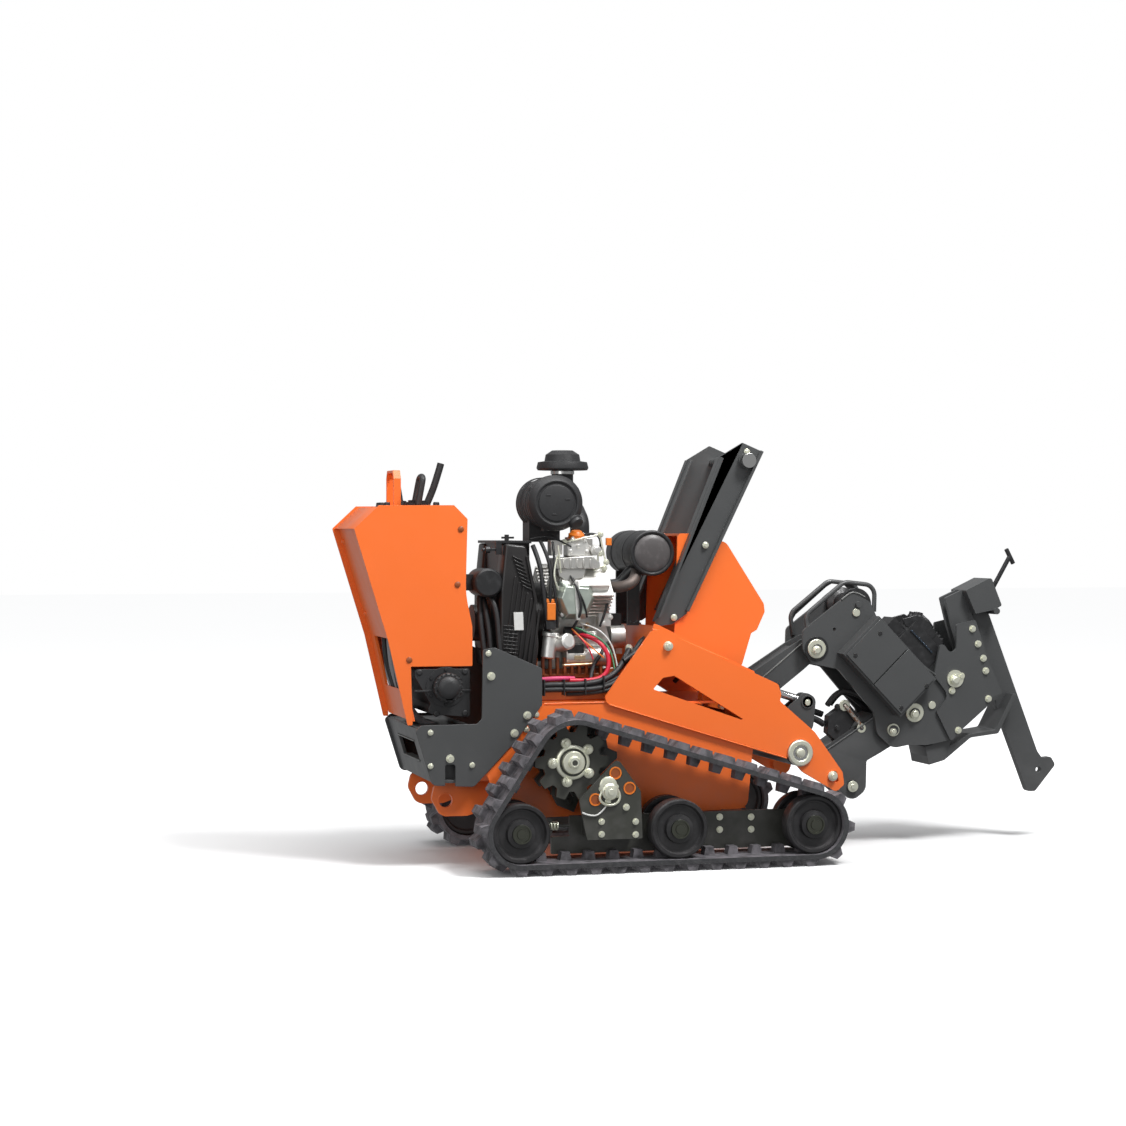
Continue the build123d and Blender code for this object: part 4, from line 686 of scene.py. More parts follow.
class PLOW_OT_air_cleaner(bpy.types.Operator):
    """Makes the air cleaner's ridges, end cover, clips, band, dust valve and hose clamps."""
    bl_idname = "plow.air_cleaner"
    bl_label = "Air cleaner"

    def execute(self, context):
        cover = bmesh.new()
        turned(cover, [(0, 4), (50, 4), (53, 3), (54, 0), (60, 0), (61, 4), (65, 5), (69, 2), (80, -9), (82, -12),
                       (82, -20), (80, -22), (80, -26), (82, -28), (82, -36), (79, -40), (77, -40)],
               spot(5, -190, 1054), (0, -1, 0), 72)
        for k in range(3):
            a = math.tau * (k + 0.15) / 3
            block(cover, (5 + 34 * math.cos(a) - 7, -195.5, 1054 + 34 * math.sin(a) - 2),
                  (5 + 34 * math.cos(a) + 7, -193, 1054 + 34 * math.sin(a) + 2))
        finished("air_cleaner_cover", cover, "plastic", "chassis", 0.0006)
        bands = bmesh.new()
        for y in (-120, -96, -40, -16):
            turned(bands, [(75, 0), (77.6, 1), (77.6, 9), (75, 10)], spot(5, y, 1054), (0, 1, 0), 72)
        for a in (0.5, 2.6, 4.4):
            block(bands, (5 + 80 * math.cos(a) - 6, -158, 1054 + 80 * math.sin(a) - 6),
                  (5 + 80 * math.cos(a) + 6, -128, 1054 + 80 * math.sin(a) + 6))
        finished("air_cleaner_bands", bands, "plastic", "chassis", 0.001)
        valve = bmesh.new()
        down = Vector((0.36, -0.72, -0.6))
        turned(valve, [(0, 0), (15, 0), (16, 12), (21, 15), (22, 20), (20, 23), (23, 26), (23, 31), (20, 34),
                       (22, 37),
                       (19, 44), (9, 47), (0, 47)], spot(52, -160, 1018), down, 36)
        finished("dust_valve", valve, "plastic", "chassis")
        clamps = bmesh.new()
        turned(clamps, [(30, 0), (32, 0), (32, 12), (30, 12)], spot(127, 0, 954), (0, 0, 1), 40)
        turned(clamps, [(30, 0), (32, 0), (32, 12), (30, 12)], spot(5, 22, 1054), (0, 1, 0), 40)
        turned(clamps, [(33, 0), (35, 0), (35, 10), (33, 10)], spot(52, -80, 1140), (0, 0, 1), 40)
        block(clamps, (44, -120, 1142), (60, -112, 1148))
        finished("intake_clamps", clamps, "steel", "chassis", 0.0005)
        cap = bmesh.new()
        turned(cap, [(76.4, 4), (77, 8), (73, 24), (53.5, 27), (50, 46), (31, 58.5)], spot(52, -80, 1152),
               (0, 0, 1), 64)
        finished("rain_cap_skin", cap, "plastic", "chassis")
        return {"FINISHED"}


def hexagonal_cover(shape, x, z, y, width, height, depth):
    """A faceted cover with six sides, which narrows towards the viewer's side and below."""
    outline = [(x - width * 0.36, z + height * 0.5), (x + width * 0.40, z + height * 0.42),
               (x + width * 0.5, z + height * 0.05), (x + width * 0.28, z - height * 0.5),
               (x - width * 0.28, z - height * 0.5), (x - width * 0.5, z + height * 0.08)]
    verts = [shape.verts.new(spot(u, y, v)) for u, v in outline]
    face = shape.faces.new(verts)
    middle = spot(x, y, z)
    for push, shrink in ((-depth * 0.35, 1.0), (-depth * 0.65, 0.72)):
        made = bmesh.ops.extrude_face_region(shape, geom=[face])
        moved = [g for g in made["geom"] if isinstance(g, bmesh.types.BMVert)]
        face = next(g for g in made["geom"] if isinstance(g, bmesh.types.BMFace))
        for v in moved:
            v.co = middle + (v.co - middle) * shrink
        bmesh.ops.translate(shape, verts=moved, vec=(0, push * MM, 0))
        middle = middle + Vector((0, push * MM, 0))
    for v in shape.verts:
        v.tag = True


class PLOW_OT_engine(bpy.types.Operator):
    """Makes the engine's covers, bolts, carburettor, coil, starter wiring and ribbed sump, the sump coloured in a
    painted shade.
    """
    bl_idname = "plow.engine"
    bl_label = "Engine"

    def execute(self, context):
        cover = bmesh.new()
        hexagonal_cover(cover, 66, 770, -150, 124, 112, 42)
        finished("valve_cover_right", cover, "green_cast", "chassis", 0.002)
        ridge = bmesh.new()
        plate(ridge, [(58, 826), (70, 826), (76, 712), (64, 712)], -196, 10)
        bolt_row(ridge, ((22, 806), (108, 800), (30, 728), (98, 728)), 166, -1, 5, 7)
        finished("valve_cover_ridge", ridge, "bright_cast", "chassis", 0.0015)
        head = bmesh.new()
        plate(head, [(4, 892), (118, 900), (140, 880), (140, 862), (4, 862)], -176, 90)
        plate(head, [(14, 862), (100, 862), (92, 836), (40, 826), (18, 840)], -170, 70)
        plate(head, [(-2, 900), (34, 902), (34, 946), (-2, 946)], -150, 40)
        for k in range(6):
            block(head, (8 + 20 * k, -179, 866), (14 + 20 * k, -174, 890))
        finished("intake_head", head, "cast", "chassis", 0.002)
        carb = bmesh.new()
        turned(carb, [(0, 0), (34, 0), (34, 8), (26, 10), (24, 44), (30, 46), (30, 58), (0, 58)],
               spot(86, -96, 896), (0, 0, 1), 32)
        plate(carb, [(52, 900), (120, 900), (116, 932), (104, 956), (66, 956), (52, 936)], -140, 50)
        bolt_row(carb, ((60, 912), (110, 912), (66, 944), (104, 944), (84, 928)), 140, -1, 4.5, 6)
        block(carb, (120, -130, 900), (152, -70, 930))
        turned(carb, [(0, 0), (16, 0), (16, 20), (8, 22), (8, 34), (0, 34)], spot(136, -130, 916), (0, -1, 0), 24)
        finished("carburettor_body", carb, "bright_cast", "chassis", 0.0012)
        ring = bmesh.new()
        turned(ring, [(0, 26), (14, 26), (20, 18), (24, 16), (24, 4), (20, 0), (0, 0)], spot(84, -118, 948),
               (0, -0.2, 1), 32)
        block(ring, (168, -150, 930), (184, -138, 952))
        finished("breather_cap", ring, "amber", "chassis", 0.001)
        linkage = bmesh.new()
        for x0, z0, x1, z1, y in ((40, 940, 150, 962, -146), (150, 962, 168, 880, -140), (12, 930, 20, 850, -182),
                                  (128, 856, 164, 872, -150), (150, 846, 150, 914, -120)):
            reach = spot(x1, y, z1) - spot(x0, y, z0)
            turned(linkage, [(0, 0), (2.6, 0), (2.6, reach.length / MM), (0, reach.length / MM)],
                   spot(x0, y, z0), reach, 10)
        bolt_row(linkage, ((150, 962), (168, 880), (40, 940), (150, 906), (162, 862)), 146, -1, 6, 9)
        turned(linkage, [(0, 0), (5, 0), (5, 130), (0, 130)], spot(163, -96, 690), (0, 0, 1), 16)
        turned(linkage, [(0, 0), (9, 0), (9, 24), (0, 24)], spot(163, -96, 812), (0, 0, 1), 16)
        finished("throttle_linkage", linkage, "zinc", "chassis", 0.0005)
        coil = bmesh.new()
        block(coil, (-20, -178, 712), (6, -150, 762))
        block(coil, (-24, -176, 762), (10, -152, 774))
        finished("ignition_coil", coil, "amber", "chassis", 0.002)
        coil_foot = bmesh.new()
        block(coil_foot, (-22, -174, 684), (8, -150, 712))
        turned(coil_foot, [(0, 0), (15, 0), (15, 56), (0, 56)], spot(44, -130, 676), (1, 0, 0), 24)
        block(coil_foot, (50, -146, 596), (100, -110, 640))
        turned(coil_foot, [(0, 0), (13, 0), (13, 34), (0, 34)], spot(216, -60, 628), (0, 0, 1), 24)
        block(coil_foot, (202, -76, 690), (236, -40, 726))
        finished("starter_solenoid", coil_foot, "black", "chassis", 0.002)
        starter = bmesh.new()
        turned(starter, [(0, 0), (16, 0), (22, 4), (22, 64), (26, 66), (26, 76), (18, 80), (0, 80)],
               spot(-8, -140, 598), (0.12, 0, 1), 36)
        turned(starter, [(0, 0), (20, 0), (24, 4), (24, 50), (18, 54), (0, 54)], spot(28, -134, 640),
               (0.3, -0.9, 0.2), 32)
        block(starter, (110, -140, 640), (140, -108, 676))
        block(starter, (152, -120, 690), (190, -84, 730))
        turned(starter, [(0, 0), (12, 0), (12, 20), (7, 22), (7, 34), (0, 34)], spot(171, -102, 730), (0, 0, 1),
               24)
        bolt_row(starter, ((120, 652), (132, 664), (160, 700), (182, 718), (62, 650)), 142, -1, 5, 8)
        finished("starter_motor", starter, "bright_cast", "chassis", 0.0012)
        brass = bmesh.new()
        turned(brass, [(0, 0), (4, 0), (4, 92), (0, 92)], spot(36, -150, 578), (1, 0, 0.03), 12)
        turned(brass, [(0, 0), (9, 0), (9, 12), (0, 12)], spot(110, -128, 690), (0.4, -0.6, 0.4), 12)
        block(brass, (70, -150, 594), (104, -146, 606))
        finished("brass_fittings", brass, "brass", "chassis", 0.0006)
        # a brown plate and ribs: a painted shade of the orange engine bay behind the hoses
        sump = bmesh.new()
        block(sump, (-56, -118, 474), (212, -110.5, 566))
        for k in range(11):
            block(sump, (-46 + 22 * k, -134, 548), (-38 + 22 * k, -116, 600))
        block(sump, (-50, -130, 540), (206, -116, 552))
        finished("shaded_sump_ribs", sump, "brown", "chassis", 0.0015)
        plate_blank = bmesh.new()
        plate(plate_blank, [(-120, 684), (-92, 684), (-94, 736), (-122, 736)], -183.5, 3)
        finished("blank_plate", plate_blank, "white", "chassis", 0.0006)
        return {"FINISHED"}


class PLOW_OT_wiring(bpy.types.Operator):
    """Makes the engine's cables and hoses, the battery cable and the loom on the deck."""
    bl_idname = "plow.wiring"
    bl_label = "Wiring and hoses"

    def execute(self, context):
        runs = (
            ("red_battery_cable", [(84, -132, 668), (112, -160, 664), (146, -184, 640), (166, -194, 596),
                                   (152, -202, 548), (100, -206, 534), (40, -206, 537)], 6.5, "red"),
            ("red_cable_low", [(58, -190, 541), (20, -200, 543), (-20, -202, 542), (-60, -190, 538)], 7,
             "magenta"),
            ("loom_a", [(-70, -192, 520), (-20, -208, 526), (50, -214, 524), (120, -212, 530), (170, -204, 548),
                        (205, -186, 580), (236, -150, 620)], 8.5, "hose"),
            ("loom_b", [(-70, -196, 508), (-10, -212, 512), (60, -216, 510), (130, -214, 512), (190, -206, 532),
                        (240, -190, 572), (290, -170, 620), (330, -150, 640)], 8, "hose"),
            ("loom_c", [(-60, -190, 530), (10, -204, 516), (80, -210, 523), (140, -206, 518), (200, -200, 548)],
             6.5, "hose"),
            ("loom_d", [(30, -204, 497), (110, -212, 499), (180, -210, 512), (236, -200, 548), (286, -186, 590),
                        (330, -176, 615)], 7, "hose"),
            ("plug_lead", [(60, -150, 842), (58, -190, 826), (70, -201, 790), (78, -202, 750), (70, -196, 716),
                           (64, -160, 690)], 4, "hose"),
            ("plug_lead_two", [(50, -140, 850), (52, -186, 838), (66, -200, 800), (90, -198, 756),
                               (98, -186, 720)],
             3, "hose"),
            ("breather_hose", [(-54, -140, 930), (-38, -164, 880), (-30, -172, 800), (-22, -170, 740),
                               (-14, -160, 690)], 7, "hose"),
            ("harness_up", [(-34, -150, 944), (-16, -172, 900), (-6, -178, 830), (-12, -176, 780),
                            (-8, -166, 744)],
             5.5, "hose"),
            ("harness_b", [(2, -154, 940), (4, -178, 890), (-4, -180, 830), (6, -180, 780), (16, -160, 690)], 4,
             "hose"),
            ("green_wire", [(70, -160, 690), (110, -176, 672), (150, -184, 650), (176, -190, 610),
                            (180, -196, 560)],
             2.4, "wire"),
            ("amber_wire", [(60, -156, 686), (96, -170, 648), (120, -180, 626), (150, -186, 600)], 2.2, "amber"),
            ("cream_wire", [(90, -150, 700), (126, -172, 690), (158, -184, 664), (182, -188, 620),
                            (190, -190, 570)],
             2.4, "white"),
            ("violet_wire", [(66, -154, 676), (88, -172, 656), (110, -180, 622), (118, -182, 596)], 2.2, "red"),
            ("cooler_hose_a", [(-190, -128, 790), (-176, -150, 770), (-164, -160, 720), (-160, -166, 640),
                               (-150, -170, 570), (-110, -180, 520)], 9, "hose"),
            ("cooler_hose_b", [(-196, -96, 782), (-196, -128, 760), (-186, -142, 690), (-180, -146, 610),
                               (-176, -150, 560)], 9, "hose"),
            ("cooler_hose_c", [(-206, -110, 782), (-212, -132, 740), (-206, -140, 660), (-196, -146, 580)], 8,
             "hose"),
            ("stop_cable", [(-60, -140, 948), (-20, -150, 960), (20, -152, 948), (60, -150, 926)], 3, "hose"),
            ("fuel_line", [(128, -60, 880), (170, -110, 860), (176, -140, 800), (168, -150, 740),
                           (150, -140, 690)],
             4, "hose"),
            ("vacuum_line", [(100, -126, 960), (136, -140, 970), (160, -130, 940), (158, -110, 900)], 3.5, "hose"),
            ("bright_line", [(12, -174, 900), (-2, -184, 860), (2, -186, 820), (14, -178, 800)], 3, "zinc"),
            ("oil_line", [(200, -64, 640), (180, -120, 640), (150, -150, 610), (120, -160, 570), (110, -180, 530)],
             6, "hose"),
        )
        for name, points, radius, cover in runs:
            pipe(name, points, radius, cover, "chassis")
        ends = bmesh.new()
        for x, y, z, way in ((84, -132, 668, (-0.9, 0.3, 0)), (236, -150, 620, (0.3, 0.8, 0.3)),
                             (-190, -128, 790, (0, 0.4, 1)), (-196, -96, 782, (0, 0.4, 1))):
            turned(ends, [(0, 0), (10, 0), (11, 3), (11, 20), (8, 22), (0, 22)], spot(x, y, z), way, 20)
        finished("hose_fittings", ends, "zinc", "chassis", 0.0005)
        ties = bmesh.new()
        for x in (-40, 20, 84, 140):
            block(ties, (x - 2, -226, 494 + max(0, x - 80) * 0.15), (x + 2, -196, 541 + max(0, x - 80) * 0.15))
        finished("loom_ties", ties, "plastic", "chassis", 0.001)
        return {"FINISHED"}


class PLOW_OT_muffler(bpy.types.Operator):
    """Makes the muffler's domed end, rolled rim, straps, outlet and bolts."""
    bl_idname = "plow.muffler"
    bl_label = "Muffler"

    def execute(self, context):
        dome = bmesh.new()
        turned(dome, [(0, 10), (20, 9.4), (40, 7), (52, 3), (57, -2)], spot(306, -160, 907), (0, -1, 0), 64)
        finished("muffler_dome", dome, "muffler_end", "chassis")
        rim = bmesh.new()
        turned(rim, [(57, 1), (60, 4), (64, 4), (67.5, 1), (68, -6), (66, -8)], spot(306, -160, 907),
               (0, -1, 0), 64)
        for y in (-60, 60):
            turned(rim, [(65, 0), (67.4, 0.5), (67.4, 17), (65, 18)], spot(306, y - 9, 907), (0, 1, 0), 64)
        for y in (-64, 56):
            block(rim, (258, y - 3, 690), (300, y + 11, 698))
            hexagon_bolt(rim, spot(268, y + 4, 698), (0, 0, 1), 6, 9)
            hexagon_bolt(rim, spot(288, y + 4, 698), (0, 0, 1), 6, 9)
        finished("muffler_rim", rim, "black", "chassis", 0.0006)
        pipe("exhaust_bend", [(178, -108, 806), (210, -150, 806), (240, -160, 816), (262, -140, 838),
                              (272, -110, 856)],
             17, "exhaust", "chassis")
        return {"FINISHED"}


# ---------------------------------------------------------------- tracks
SIDES = (("right", -1), ("left", 1))
WHEEL_X = {"rear_idler": -157, "mid_roller": 310, "front_idler": 721}


class PLOW_OT_sprockets(bpy.types.Operator):
    """Makes the plated hub flanges of the sprockets, with their five ears and bolts."""
    bl_idname = "plow.sprockets"
    bl_label = "Sprocket hubs"

    def execute(self, context):
        for side, s in SIDES:
            hub = bmesh.new()
            turned(hub, [(50, 0), (50, 9), (47, 12), (41, 13.5), (38, 10), (33, 10), (33, 20), (31, 23),
                         (18, 25), (16, 33),
                         (12, 34.5), (8, 34.5), (8, 30), (0, 30)], spot(0, s * 380, 316), (0, s, 0), 64)
            for k in range(5):
                a = math.radians(110 + 72 * k)
                x, z = 58 * math.cos(a), 316 + 58 * math.sin(a)
                turned(hub, [(15, 0), (15, 9), (13, 11), (0, 11)], spot(x, s * 380, z), (0, s, 0), 24)
                hexagon_bolt(hub, spot(x, s * 391, z), (0, s, 0), 9, 12)
                turned(hub, [(4, 0), (4, 12), (0, 12)], spot(x, s * 391, z), (0, s, 0), 12)
            finished(f"hub_flange_{side}", hub, "zinc", f"sprocket_{side}", 0.0008)
        return {"FINISHED"}


class PLOW_OT_undercarriage(bpy.types.Operator):
    """Makes the drive plates, wheel hubs, idler springs, guard rings and nuts."""
    bl_idname = "plow.undercarriage"
    bl_label = "Undercarriage"

    def execute(self, context):
        for side, s in SIDES:
            near = -262 if s < 0 else 256
            drive = bmesh.new()
            plate(drive, [(-78, 318), (-44, 356), (-10, 384), (26, 401), (62, 410), (122, 404), (134, 372),
                          (140, 342),
                          (168, 330), (168, 313), (60, 214), (38, 159), (-12, 180), (-50, 250)], near, 6)
            bolt_row(drive, ((-40, 330), (20, 386), (100, 388), (128, 336), (24, 190)), 262, s, 6, 9)
            finished(f"drive_plate_{side}", drive, "olive", "chassis", 0.001)
            rings = bmesh.new()
            for x, z in ((121, 284), (163, 240), (62, 210)):
                turned(rings, [(14, 0), (14, 3), (18, 3), (18, 0)], spot(x, s * 404.4, z), (0, s, 0), 40)
            finished(f"guard_rings_{side}", rings, "amber", "chassis")
            # brown discs in the guard rings' holes: painted shade in the recesses
            hole_shade = bmesh.new()
            for x, z in ((121, 284), (163, 240), (62, 210)):
                turned(hole_shade, [(14.2, 0), (14.2, 1), (0, 1)], spot(x, s * 404.6, z), (0, s, 0), 40)
            finished(f"guard_ring_shade_{side}", hole_shade, "brown", "chassis")
            nut = bmesh.new()
            turned(nut, [(0, 0), (26, 0), (26, 6), (20, 9), (0, 9)], spot(99, s * 405, 249), (0, s, 0), 40)
            turned(nut, [(0, 0), (24, 0), (24, 10), (19, 14), (19, 20), (9, 22), (9, 26), (0, 26)],
                   spot(103, s * 405, 232), (0, s, 0), 40)
            bolt_row(nut, ((128, 222), (99, 204), (122, 244), (80, 240)), 405, s, 6, 9)
            finished(f"tensioner_nut_{side}", nut, "zinc", "chassis", 0.0008)
            pipe(f"tensioner_ring_{side}", [(84, s * 409, 236), (66, s * 410, 216), (84, s * 411, 196),
                                            (104, s * 411, 192),
                                            (130, s * 411, 198), (136, s * 411, 222), (124, s * 410, 240)],
                 4, "zinc", "chassis", 4)
            pipe(f"grease_line_{side}", [(92, s * 408, 190), (74, s * 409, 166), (44, s * 409, 164),
                                         (22, s * 408, 174)],
                 2.6, "white", "chassis")
            spring = bmesh.new()
            for k in range(4):
                turned(spring, [(5, 0), (13, 1), (13, 6), (5, 7)], spot(-58 + 9 * k, s * 314, 128), (1, 0, 0), 24)
            turned(spring, [(0, 0), (17, 0), (17, 5), (0, 5)], spot(-62, s * 314, 128), (-1, 0, 0), 24)
            finished(f"idler_screw_{side}", spring, "zinc", "chassis", 0.0005)
            for wheel, x in WHEEL_X.items():
                rim = bmesh.new()
                turned(rim, [(71, -1), (73, 2), (81, 2), (83.5, -1)], spot(x, s * 416, WHEEL_Z), (0, s, 0), 72)
                turned(rim, [(66, -12.5), (63, -10), (44, -8.5), (42, -9), (40, 3), (30, 5), (28, 5.5)],
                       spot(x, s * 414.5, WHEEL_Z), (0, s, 0), 72)
                finished(f"{wheel}_rim_{side}", rim, "wheel", f"{wheel}_{side}")
                hub = bmesh.new()
                turned(hub, [(28, 0), (27, 6.5), (23, 6.5), (22, 3), (15, 3), (14, 6), (0, 7)],
                       spot(x, s * 420, WHEEL_Z), (0, s, 0), 56)
                finished(f"{wheel}_hub_{side}", hub, "hub", f"{wheel}_{side}")
        return {"FINISHED"}


# ---------------------------------------------------------------- chassis fittings
class PLOW_OT_fittings(bpy.types.Operator):
    """Makes the pivot collars, weld beads, hinge bolts and tie-down details of the chassis."""
    bl_idname = "plow.fittings"
    bl_label = "Chassis fittings"

    def execute(self, context):
        for side, s in SIDES:
            collar = bmesh.new()
            turned(collar, [(23, 0), (23, 9), (26, 11), (36, 11), (39, 8), (39, 0)], spot(741, s * 238, 312),
                   (0, s, 0), 56)
            turned(collar, [(0, 0), (14, 0), (14, 5), (9, 8), (0, 8)], spot(741, s * 245, 312), (0, s, 0), 40)
            finished(f"pivot_collar_{side}", collar, "zinc", "chassis", 0.0008)
            bolts = bmesh.new()
            hexagon_bolt(bolts, spot(330, s * 246, 635), (0, s, 0), 9, 13)
            turned(bolts, [(0, 0), (15, 0), (15, 8), (10, 10), (0, 10)], spot(845, s * 236, 240), (0, s, 0), 32)
            hexagon_bolt(bolts, spot(845, s * 246, 240), (0, s, 0), 9, 12)
            bolt_row(bolts, ((-66, 441), (-96, 398), (256, 442), (430, 398), (560, 366)), 228, s, 6, 9)
            bolt_row(bolts, ((-210, 620), (-258, 300), (-380, 300), (-380, 396)), 236, s, 6, 8.5)
            finished(f"chassis_extra_bolts_{side}", bolts, "zinc", "chassis", 0.0006)
            for k, path in enumerate((((-44, 472), (120, 473), (266, 474)), ((286, 684), (300, 686), (520, 590)),
                                      ((150, 467), (420, 382), (700, 297)))):
                pipe(f"weld_{side}_{k}", [(x, s * (228.5 if k < 2 else 238.2), z) for x, z in path], 2.4,
                     "orange", "chassis")
            upright = bmesh.new()
            bolt_row(upright, ((372, 716), (470, 930), (600, 1208)), 164, s, 7, 10)
            finished(f"upright_bolts_{side}", upright, "zinc", "chassis", 0.0006)
            channel = bmesh.new()
            for (x0, z0), (x1, z1) in (((318, 704), (518, 1193)), ((411, 727), (646, 1206))):
                nx, nz = (z1 - z0), -(x1 - x0)
                scale = 6 / math.hypot(nx, nz) * (1 if x0 < 400 else -1)
                plate(channel, [(x0, z0), (x1, z1), (x1 + nx * scale, z1 + nz * scale),
                                (x0 + nx * scale, z0 + nz * scale)],
                      152 - 33 if s > 0 else -152, 33)
            finished(f"upright_flanges_{side}", channel, "grey", "chassis", 0.0012)
            hook = bmesh.new()
            turned(hook, [(20, 0), (20, 17.6), (24, 17.6), (24, 0)], spot(-323, s * 161.2, 194), (0, s, 0), 40)
            finished(f"tie_down_ring_{side}", hook, "orange", "chassis", 0.0008)
        # the lips take the lit grey, a painted highlight
        opening = bmesh.new()
        for z in (303, 362):
            block(opening, (-409 + (367 - z) * 0.3, -122, z), (-380 + (367 - z) * 0.3, 122, z + 4))
        finished("bumper_opening_lips", opening, "lit_grey", "chassis", 0.001)
        return {"FINISHED"}


# ---------------------------------------------------------------- boom, link and plow
class PLOW_OT_plow(bpy.types.Operator):
    """Makes the pin nubs with a painted shadow ring, cover screws, vibrator motor with fins in a painted blue
    sheen, guards, weld beads and a painted highlight along the top edge of the plow.
    """
    bl_idname = "plow.plow"
    bl_label = "Plow"

    def execute(self, context):
        nubs = bmesh.new()
        for s in (-1, 1):
            for x, z, face, r in ((854, 613, 94, 11), (1176, 412, 94, 11), (1105, 360, 94, 8),
                                  (1307, 515, 102, 11)):
                turned(nubs, [(0, 0), (r + 3, 0), (r + 3, 2), (r, 3), (r, 7), (r - 3, 9), (0, 9)],
                       spot(x - 4, s * (face + (0.5 if face > 100 else 0)), z - 4), (0, s, 0), 28)
            for x, z in ((1234, 434), (983, 722)):
                turned(nubs, [(0, 0), (12, 0), (12, 5), (0, 6)], spot(x, s * 80, z), (0, s, 0), 28)
            for x, z in ((854, 613), (1176, 412)):
                turned(nubs, [(14.6, 0), (29.5, 0), (29.5, 5), (27.5, 6.8), (14.6, 6.8)], spot(x, s * 80, z),
                       (0, s, 0), 48)
            turned(nubs, [(14.6, 0), (19.5, 0), (19.5, 6.8), (14.6, 6.8)], spot(1105, s * 80, 360), (0, s, 0), 40)
        finished("plow_pin_nubs", nubs, "zinc", "plow", 0.0006)
        screws_and_shadow_ring = bmesh.new()
        for s in (-1, 1):
            # a black ring round the hinge pin's washer: a painted shadow
            turned(screws_and_shadow_ring, [(29, 0), (38, 0), (38, 2.4), (29, 2.4)], spot(854, s * 80, 613), (0, s, 0), 40)
            bolt_row(screws_and_shadow_ring, ((1039, 661), (959, 595), (1192, 498), (1109, 432)), 132, s, 7.5, 11)
        finished("plow_black_screws_and_shadow_ring", screws_and_shadow_ring, "black", "plow", 0.0006)
        cover = bmesh.new()
        for s in (-1, 1):
            near = 132 if s > 0 else -137.6
            a = math.radians(46)
            ux, uz, vx, vz = math.cos(a), -math.sin(a), math.sin(a), math.cos(a)
            for low, high in ((-128, -2), (2, 128)):
                ring = [(1074 + ux * p + vx * q, 558 + uz * p + vz * q)
                        for p, q in ((low, -76), (high, -76), (high, 76), (low, 76))]
                plate(cover, ring, near, 5.6)
        finished("vibrator_covers", cover, "grey", "plow", 0.0006)
        motor = bmesh.new()
        turned(motor, [(0, 0), (40, 0), (46, 4), (46, 26), (40, 30), (40, 58), (34, 62), (0, 62)],
               spot(1200, -2, 652), (0.72, 0, 0.69), 8)
        for y in (-52, 46):
            plate(motor, [(1148, 700), (1196, 712), (1236, 690), (1262, 650), (1240, 628), (1200, 668),
                          (1160, 676)], y, 6)
        for y in (-34, 0, 34):
            turned(motor, [(0, 0), (12, 0), (12, 18), (9, 20), (9, 30), (0, 30)], spot(1208, y, 690),
                   (0.3, 0, 1), 6)
        block(motor, (1226, -40, 596), (1262, 40, 640), Matrix.Rotation(math.radians(46), 4, "Y"))
        finished("vibrator_motor_cover", motor, "black", "plow", 0.0015)
        # the fins take a bluish metal colour: a painted blue highlight
        shaft = bmesh.new()
        for k in range(9):
            plate(shaft, [(1168 + 8 * k, 664 - 8 * k), (1172 + 8 * k, 667 - 8 * k), (1178 + 8 * k, 661 - 8 * k),
                          (1174 + 8 * k, 658 - 8 * k)], -71, 142)
        finished("motor_fins", shaft, "blue_sheen", "plow", 0.0005)
        guard = bmesh.new()
        plate(guard, [(824, 664), (826, 706), (836, 722), (938, 808), (962, 820), (990, 818), (1010, 812),
                      (1040, 790), (1052, 756), (1042, 758), (1030, 782), (1006, 802), (984, 808), (964, 809),
                      (944, 798), (842, 712), (834, 698), (832, 668)], 68, 12)
        finished("cable_guard_straps", guard, "black", "plow", 0.001)
        for side, s in SIDES:
            pipe(f"plow_weld_{side}", [(1024, s * 96, 690), (1100, s * 96, 640), (1190, s * 96, 560),
                                       (1240, s * 96, 528)],
                 3, "grey", "plow")
            # a lit grey strip along the plate's rounded top edge: a painted highlight
            pipe(f"plow_edge_highlight_{side}", [(936, s * 81, 762), (958, s * 81, 782), (984, s * 81, 786),
                                            (1012, s * 81, 770)],
                 2.4, "lit_grey", "plow")
        return {"FINISHED"}


